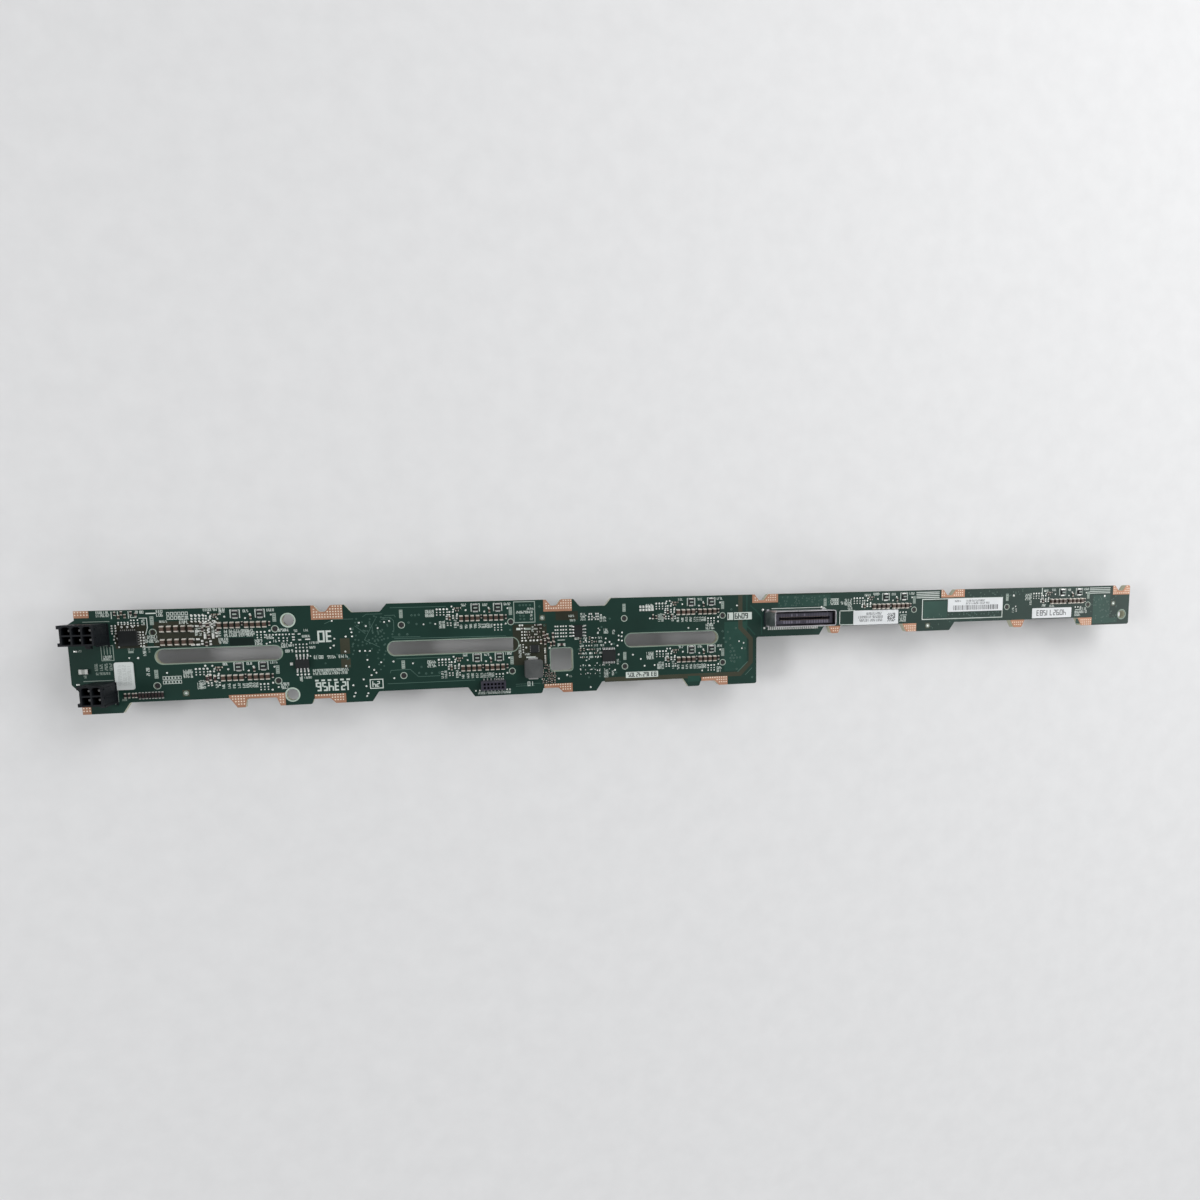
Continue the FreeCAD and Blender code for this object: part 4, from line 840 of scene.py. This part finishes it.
# ---- the narrow part ------------------------------------------------------------------------------------------
def narrow_zone():
    rng = random.Random(15)
    area(44.2, 66.0, 11.9, 16.3, PLANE)
    area(106.0, 116.6, 5.9, 12.5, PLANE)
    area(176.4, 196.4, 1.6, 3.6, PLANE)
    area(184.4, 192.6, 1.4, 13.2, PLANE)
    area(22.6, 31.6, -11.8, 6.9, PLANE)
    for x, y in ((38.1, 11.0), (38.7, 4.1), (62.2, 11.4), (146.7, 13.9), (189.9, 12.7)):
        dot(x, y, 0.95)
    printed_line([(41.6, 11.4), (63.2, 11.4), (64.4, 10.4)], 0.28)
    printed_line([(40.9, 4.0), (63.0, 4.0)], 0.25, GREY)
    number_field(66.0, 70.0, 12.0, 14.6, 0.95, rng)
    number_field(70.4, 73.1, 11.1, 13.3, 0.95, rng)
    number_field(73.4, 75.2, 10.0, 12.0, 0.8, rng)
    outline_mark(69.5, 76.4, 4.2, 9.9, 0.28)
    bar(69.5, 70.1, 4.2, 9.9)
    number_field(80.5, 83.3, 15.2, 16.0, 0.7, rng)
    number_field(84.2, 86.8, 15.6, 16.4, 0.7, rng)
    outline_mark(105.4, 141.7, 5.2, 13.5, 0.32)
    for x0, x1 in ((102.8, 113.0), (182.5, 192.4)):
        for row in range(4):
            bar(x0, x1, 13.9 + row * 0.7, 14.22 + row * 0.7)
    fiducial(108.1, 2.9)
    fiducial(194.2, 9.6)
    number_field(146.2, 146.9, 6.8, 9.2, 0.7, rng, True)
    for x, y in ((147.7, 9.5), (148.0, 8.4), (148.1, 7.6)):
        dot(x, y, 0.55)
    bar(159.7, 160.1, 13.6, 16.8)
    number_field(160.8, 163.4, 15.2, 16.0, 0.75, rng)
    number_field(154.2, 155.2, 9.8, 14.6, 0.75, rng, True)
    number_field(160.0, 161.8, 9.1, 10.0, 0.8, rng)
    number_field(163.6, 165.8, 8.8, 9.6, 0.7, rng)
    number_field(178.0, 181.6, 5.7, 8.2, 0.9, rng)
    for _ in range(60):
        via(rng.uniform(44.5, 65.5), rng.uniform(12.2, 16.0), 0.16)
    for _ in range(56):
        via(rng.uniform(182.8, 196.0), rng.uniform(2.0, 12.6), 0.15)
    for _ in range(40):
        via(rng.uniform(106.5, 140.5), rng.uniform(1.4, 4.7) if rng.random() < 0.3 else rng.uniform(5.8, 7.6), 0.15)
    for _ in range(26):
        via(rng.uniform(125.0, 152.0), rng.uniform(13.8, 16.2), 0.15)
    pads.ring(198.5, 4.9, 1.65, 2.15, FACE - SINK, FACE + PAD, BARE, 36)


# ---- print on the labels ----------------------------------------------------------------------------------------
label_print = Piece("label_printing", [PRINT, FAINT_PRINT], "label_white")
FAINT = 1
INK = 0.02


def print_bar(x0, x1, y0, y1, top):
    label_print.block(x0, x1, y0, y1, top - SINK, top + INK)


def print_digits(x, y, numbers, size, pen, top):
    digits(label_print, x, y, numbers, size, pen, base=top, rise=INK)


def code_label_print():
    """Rows of small numbers and a square of plain cells."""
    rng = random.Random(21)
    low, high = box_mm("code_label")
    top = high[2]
    for row, (start, count) in enumerate(((5.6, 10), (2.2, 16), (2.6, 15))):
        print_digits(low[0] + start, high[1] - 1.75 - row * 1.28, [rng.randrange(10) for _ in range(count)],
                     0.82, 0.13, top)
    cell = 0.42
    x0, y0 = high[0] - 4.7, low[1] + 1.0
    for i in range(8):
        for j in range(8):
            if (i + j) % 2 == 0 or rng.random() < 0.3:
                print_bar(x0 + i * cell, x0 + i * cell + cell * 0.9, y0 + j * cell, y0 + j * cell + cell * 0.9, top)


def barcode_label_print():
    """Upright bars under two rows of small numbers."""
    rng = random.Random(22)
    low, high = box_mm("barcode_label")
    top = high[2]
    x = low[0] + 2.4
    while x < high[0] - 2.4:
        width = rng.choice((0.14, 0.14, 0.26, 0.4))
        print_bar(x, x + width, low[1] + 0.6, low[1] + 2.5, top)
        x += width + rng.choice((0.2, 0.28, 0.4))
    for row, (start, count) in enumerate(((8.2, 16), (8.2, 20))):
        print_digits(low[0] + start, high[1] - 1.3 - row * 1.0, [rng.randrange(10) for _ in range(count)],
                     0.66, 0.11, top)
    print_digits(low[0] + 3.2, high[1] - 1.3, [rng.randrange(10) for _ in range(5)], 0.66, 0.11, top)


def white_pad_print():
    """Three rows of faint numbers that read down the pad."""
    rng = random.Random(23)
    low, high = box_mm("white_pad")
    for row in range(3):
        digits(label_print, low[0] + 1.1 + row * 1.45, high[1] - 1.0, [rng.randrange(10) for _ in range(9)], 0.95, 0.14,
               DOWN, FAINT, high[2], INK)


def number_label_print():
    low, high = box_mm("number_label")
    print_digits(low[0] + 2.2, low[1] + 1.15, (4, 0, 9, 2, 7, 1, 5, 8, 3), 1.95, 0.32, high[2])


# ---- bare rims of the openings ---------------------------------------------------------------------------------
RIM = 0.32


def stadium(x0, x1, y0, y1, radius, grow=0.0, steps=8):
    """Rounded outline, counter-clockwise."""
    points = []
    x0, x1, y0, y1, radius = x0 - grow, x1 + grow, y0 - grow, y1 + grow, radius + grow
    for cx, cy, start in ((x1 - radius, y1 - radius, 0), (x0 + radius, y1 - radius, 90), (x0 + radius, y0 + radius, 180),
                          (x1 - radius, y0 + radius, 270)):
        for i in range(steps + 1):
            angle = math.radians(start + 90 * i / steps)
            points.append((cx + radius * math.cos(angle), cy + radius * math.sin(angle)))
    return points


def opening_rims():
    """Mask is pulled back from each routed opening, which shows a rim of bare laminate."""
    top = FACE + PAD * 0.4
    for x0, x1, y0, y1, radius in ((-176.1, -136.3, -1.15, 3.65, 2.4), (-101.3, -55.6, -1.15, 3.65, 2.4),
                                   (-16.1, 19.9, -1.15, 3.65, 2.4), (-44.0, -36.0, -9.0, -0.8, 1.0)):
        inner = stadium(x0, x1, y0, y1, radius, 0.01)
        outer = stadium(x0, x1, y0, y1, radius, RIM)
        pads.rings([[(x, y, FACE - SINK) for x, y in outer], [(x, y, top) for x, y in outer],
                    [(x, y, top) for x, y in inner], [(x, y, FACE - SINK) for x, y in inner]], BARE, top=False)


# ---- land dots, connector details and the underside ---------------------------------------------------------------
def land_dots():
    """Square lattice of solder dots over every copper land, kept inside its outline."""
    pitch, size = 0.9, 0.56
    low, high = box_mm("ground_lands")
    columns = int((high[0] - low[0]) / pitch)
    rows = int((high[1] - low[1]) / pitch)
    top = high[2]

    for i in range(columns + 1):
        for j in range(rows + 1):
            x, y = low[0] + 0.45 + i * pitch, high[1] - 0.45 - j * pitch
            reach = size * 0.6
            if all(on_node("ground_lands", x + dx, y + dy) for dx in (-reach, reach) for dy in (-reach, reach)):
                dots.dome(x, y, size / 2, top - SINK, top + 0.06, 1, 6)


def data_connector_detail():
    """Ribs between the contact tips, and the row of tails soldered along the connector's foot. The ribs carry painted
    light: mostly a pale lit tone on the -Y side and mostly a dark painted shade on the +Y side.
    """
    rng = random.Random(24)
    low, high = box_mm("data_connector_contacts")
    shell_low, shell_high = box_mm("data_connector_shell")
    middle = (low[1] + high[1]) / 2
    top = high[2]
    pitch = (high[0] - low[0] - 0.45) / 18
    for i in range(19):
        x = low[0] + 0.22 + i * pitch
        for side in (-1, 1):
            y = middle + side * 1.3
            # Painted light: ribs on the -Y side mostly take the pale lit tone, ribs on the +Y side mostly the dark
            # painted shade.
            lit_or_shaded_rib = rng.choice((0, 0, 0, 1)) if side < 0 else rng.choice((0, 1, 1, 1))
            connector.block(x - 0.3, x + 0.3, y - 0.5, y + 0.5, top - 0.3, top + 0.05, lit_or_shaded_rib)
    tails = int((shell_high[0] - shell_low[0] - 3.0) / 0.8)
    for i in range(tails):
        x = shell_low[0] + 1.8 + i * 0.8
        y = shell_low[1] - 0.1
        connector.block(x - 0.2, x + 0.2, y - 0.75, y + 0.05, FACE - SINK, FACE + 0.25, 2)
        connector.block(x - 0.28, x + 0.28, y - 1.15, y - 0.75, FACE - SINK, FACE + 0.12, 2)


connector = Piece("data_connector_detail", [RIB_PAINTED_LIT, RIB_PAINTED_SHADE, SOLDER], "black_plastic")


def header_joints():
    """Soldered tails under the power headers."""
    for name in ("power_header_large", "power_header_small"):
        low, high = box_mm(name + "_pins")
        side = 0.64
        columns = round((high[0] - low[0] - side) / 3.0) + 1
        for i in range(columns):
            for j in range(2):
                x, y = low[0] + side / 2 + i * 3.0, low[1] + side / 2 + j * 3.0
                loops = [joints.circle(x, y, r, UNDER - h, 16)[::-1] for r, h in
                         ((1.0, -SINK), (0.95, 0.12), (0.6, 0.45), (0.42, 0.8))]
                joints.rings(loops)
                joints.rings([joints.circle(x, y, 1.0, FACE - SINK, 16), joints.circle(x, y, 1.0, FACE + PAD, 16)])


def header_ribs():
    """Moulded ribs and foot on the right faces of the power headers."""
    for name in ("power_header_large", "power_header_small"):
        low, high = box_mm(name)
        depth = high[1] - low[1]
        for share in (0.16, 0.5, 0.84):
            y = low[1] + depth * share
            ribs.block(high[0] - SINK, high[0] + 0.22, y - 0.3, y + 0.3, FACE + 1.0, high[2] - 1.2)
        ribs.block(high[0] - SINK, high[0] + 0.35, low[1] + 0.2, high[1] - 0.2, FACE, FACE + 0.6)


ribs = Piece("header_ribs", [BLACK_PLASTIC], "black_plastic")
joints = Piece("header_solder_joints", [SOLDER], "tin_metal", smooth=True)
under = Piece("underside_print", [WHITE_INK, SOLDER, MASK_LINE], "board_green")


def under_block(x0, x1, y0, y1, rise, kind):
    under.rings([[(x0, y1, UNDER + SINK), (x1, y1, UNDER + SINK), (x1, y0, UNDER + SINK), (x0, y0, UNDER + SINK)],
                 [(x0, y1, UNDER - rise), (x1, y1, UNDER - rise), (x1, y0, UNDER - rise), (x0, y0, UNDER - rise)]],
                kind)


def underside():
    """Receptacle outlines and pads under their tails."""
    for number in range(1, RECEPTACLES + 1):
        low, high = box_mm("drive_receptacle_%d" % number)
        x0, x1, y0, y1 = low[0] - 0.5, high[0] + 0.5, low[1] - 0.9, high[1] + 0.9
        for place in (x0, x1 - 0.2):
            under_block(place, place + 0.2, y0, y1, SILK, 0)
        for place in (y0, y1 - 0.2):
            under_block(x0, x0 + 3.0, place, place + 0.2, SILK, 0)
            under_block(x1 - 3.0, x1, place, place + 0.2, SILK, 0)
        contact_low, contact_high = box_mm("drive_contacts_%d" % number)
        pitch, signals, count, gap = 2.3, 4, 11, 1.6
        for i in range(count):
            x = contact_low[0] + 0.4 + i * pitch + (gap if i >= signals else 0)
            for y in (contact_low[1] + 0.2, contact_high[1] - 0.2):
                under_block(x - 0.55, x + 0.55, y - 0.6, y + 0.6, PAD, 1)


for bay in range(1, RECEPTACLES + 1):
    bay_detail(bay)
bulk_low, bulk_high = box_mm("bulk_capacitors")
for column in range(5):
    for row_y in (bulk_low[1] + CAP_LENGTH / 2, bulk_high[1] - CAP_LENGTH / 2):
        pitch = (bulk_high[0] - bulk_low[0] - CAP_WIDTH) / 4
        chip_part(bulk_low[0] + CAP_WIDTH / 2 + column * pitch, row_y, CAP_LENGTH, CAP_WIDTH, CAP_HEIGHT)
power_zone()
sensor_zone()
converter_zone()
bend_zone()
narrow_zone()
code_label_print()
barcode_label_print()
number_label_print()
white_pad_print()
opening_rims()
land_dots()
data_connector_detail()
header_joints()
header_ribs()
underside()
silk.make()
pads.make()
dots.make()
lines.make()
label_print.make()
joints.make()
connector.make()
ribs.make()
under.make()
smd.make(replaces=("upper_bay_capacitors", "lower_bay_capacitors", "bulk_capacitors"))


# ---- finishes of the CAD nodes ------------------------------------------------------------------------------------
NODE_FINISHES = {
    "backplane_board": MASK, "ground_lands": COPPER, "data_connector_shell": STEEL,
    "data_connector_housing": NAVY_PLASTIC, "data_connector_contacts": CONTACTS_PAINTED_SHADE, "sideband_header": NAVY_PLASTIC,
    "sideband_leads": TIN, "power_inductor": FERRITE, "inductor_terminals": TIN, "bay_switches": EPOXY,
    "bay_switch_leads": TIN, "chip_resistors": GLAZE, "chip_fuse": PALE_CERAMIC, "white_pad": PAD_FILM,
    "code_label": PAPER, "barcode_label": PAPER, "number_label": PAPER,
    "power_header_large": BLACK_PLASTIC, "power_header_small": BLACK_PLASTIC,
    "power_header_large_pins": TIN, "power_header_small_pins": TIN,
}
for number in range(1, RECEPTACLES + 1):
    NODE_FINISHES["drive_receptacle_%d" % number] = RECEPTACLE_PLASTIC
    NODE_FINISHES["drive_contacts_%d" % number] = GOLD
for chip_name in ("hot_swap_controller", "temperature_sensor", "memory_chip", "logic_chip", "regulator_chip"):
    NODE_FINISHES[chip_name] = EPOXY
    NODE_FINISHES[chip_name + "_leads"] = TIN
for node_name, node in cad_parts.items():
    node.data.materials.clear()
    node.data.materials.append(NODE_FINISHES.get(node_name, CERAMIC))


# ---- floor, light and camera ----------------------------------------------------------------------------------------
def floor():
    radius, sides = 1.15, 96
    angles = [2 * math.pi * i / sides for i in range(sides)]
    mesh = bpy.data.meshes.new("floor")
    mesh.from_pydata([(radius * math.cos(a), radius * math.sin(a), 0) for a in angles], [], [list(range(sides))])
    mesh.materials.append(surface("pale_floor", (0.70, 0.70, 0.705), (0.73, 0.73, 0.735), (0.7, 0.85), bump=0.05))
    plane = bpy.data.objects.new("floor", mesh)
    bpy.context.scene.collection.objects.link(plane)


def area_light(name, place, target, size, power):
    data = bpy.data.lights.new(name, "AREA")
    data.shape = "RECTANGLE"
    data.size, data.size_y = size
    data.energy = power
    lamp = bpy.data.objects.new(name, data)
    lamp.location = place
    lamp.rotation_euler = (Vector(target) - Vector(place)).to_track_quat("-Z", "Y").to_euler()
    bpy.context.scene.collection.objects.link(lamp)


def studio_world():
    """Walls pale at the horizon and dim overhead, so flat glossy faces stay dark from above."""
    world = bpy.data.worlds.new("studio")
    world.use_nodes = True
    nodes, links = world.node_tree.nodes, world.node_tree.links
    background = nodes["Background"]
    split = nodes.new("ShaderNodeSeparateXYZ")
    links.new(nodes.new("ShaderNodeTexCoord").outputs["Generated"], split.inputs["Vector"])
    fade = nodes.new("ShaderNodeMapRange")
    fade.inputs["From Min"].default_value = 0.15
    fade.inputs["From Max"].default_value = 0.75
    fade.inputs["To Min"].default_value = 0.75
    fade.inputs["To Max"].default_value = 0.24
    links.new(split.outputs["Z"], fade.inputs["Value"])
    seen = nodes.new("ShaderNodeMix")
    links.new(nodes.new("ShaderNodeLightPath").outputs["Is Camera Ray"], seen.inputs[0])
    links.new(fade.outputs["Result"], seen.inputs[2])
    seen.inputs[3].default_value = 0.95
    links.new(seen.outputs[0], background.inputs["Strength"])
    background.inputs["Color"].default_value = (0.97, 0.985, 1.0, 1.0)
    return world


CAMERA_PLACE = (-0.0826, 0.0234, 0.3004)
CAMERA_VIEW = (0.1917, -0.1202, -0.9741)
CAMERA_RIGHT = (0.9805, -0.0204, 0.1954)
CAMERA_LENS = 24.0
CAMERA_SHIFT = 0.0646

floor()
area_light("key", (0.45, 0.55, 0.60), (0.08, 0, 0), (0.7, 0.45), 4.2)
area_light("front_fill", (0.10, -0.80, 0.60), (0, 0, 0), (0.9, 0.4), 2.0)
area_light("right_panel", (0.66, -0.02, 0.66), (0.06, 0, 0), (0.6, 0.40), 1.15)
area_light("right_slot_lamp", (1.35, 0.02, 0.72), (0, 0, 0), (0.3, 0.2), 2.4)
area_light("left_slot_lamp", (-0.98, 0.02, 0.64), (-0.02, 0, 0), (0.3, 0.2), 4.0)
scene = bpy.context.scene
scene.world = studio_world()
scene.view_settings.view_transform = "Standard"

view = Vector(CAMERA_VIEW).normalized()
right = Vector(CAMERA_RIGHT)
right = (right - view * right.dot(view)).normalized()
up = right.cross(view)
camera_data = bpy.data.cameras.new("camera")
camera_data.lens = CAMERA_LENS
camera_data.sensor_width = 36.0
camera_data.shift_y = CAMERA_SHIFT
camera_data.clip_start = 0.01
camera = bpy.data.objects.new("camera", camera_data)
camera.matrix_world = Matrix((
    (right.x, up.x, -view.x, CAMERA_PLACE[0]),
    (right.y, up.y, -view.y, CAMERA_PLACE[1]),
    (right.z, up.z, -view.z, CAMERA_PLACE[2]),
    (0, 0, 0, 1)))
scene.collection.objects.link(camera)
scene.camera = camera
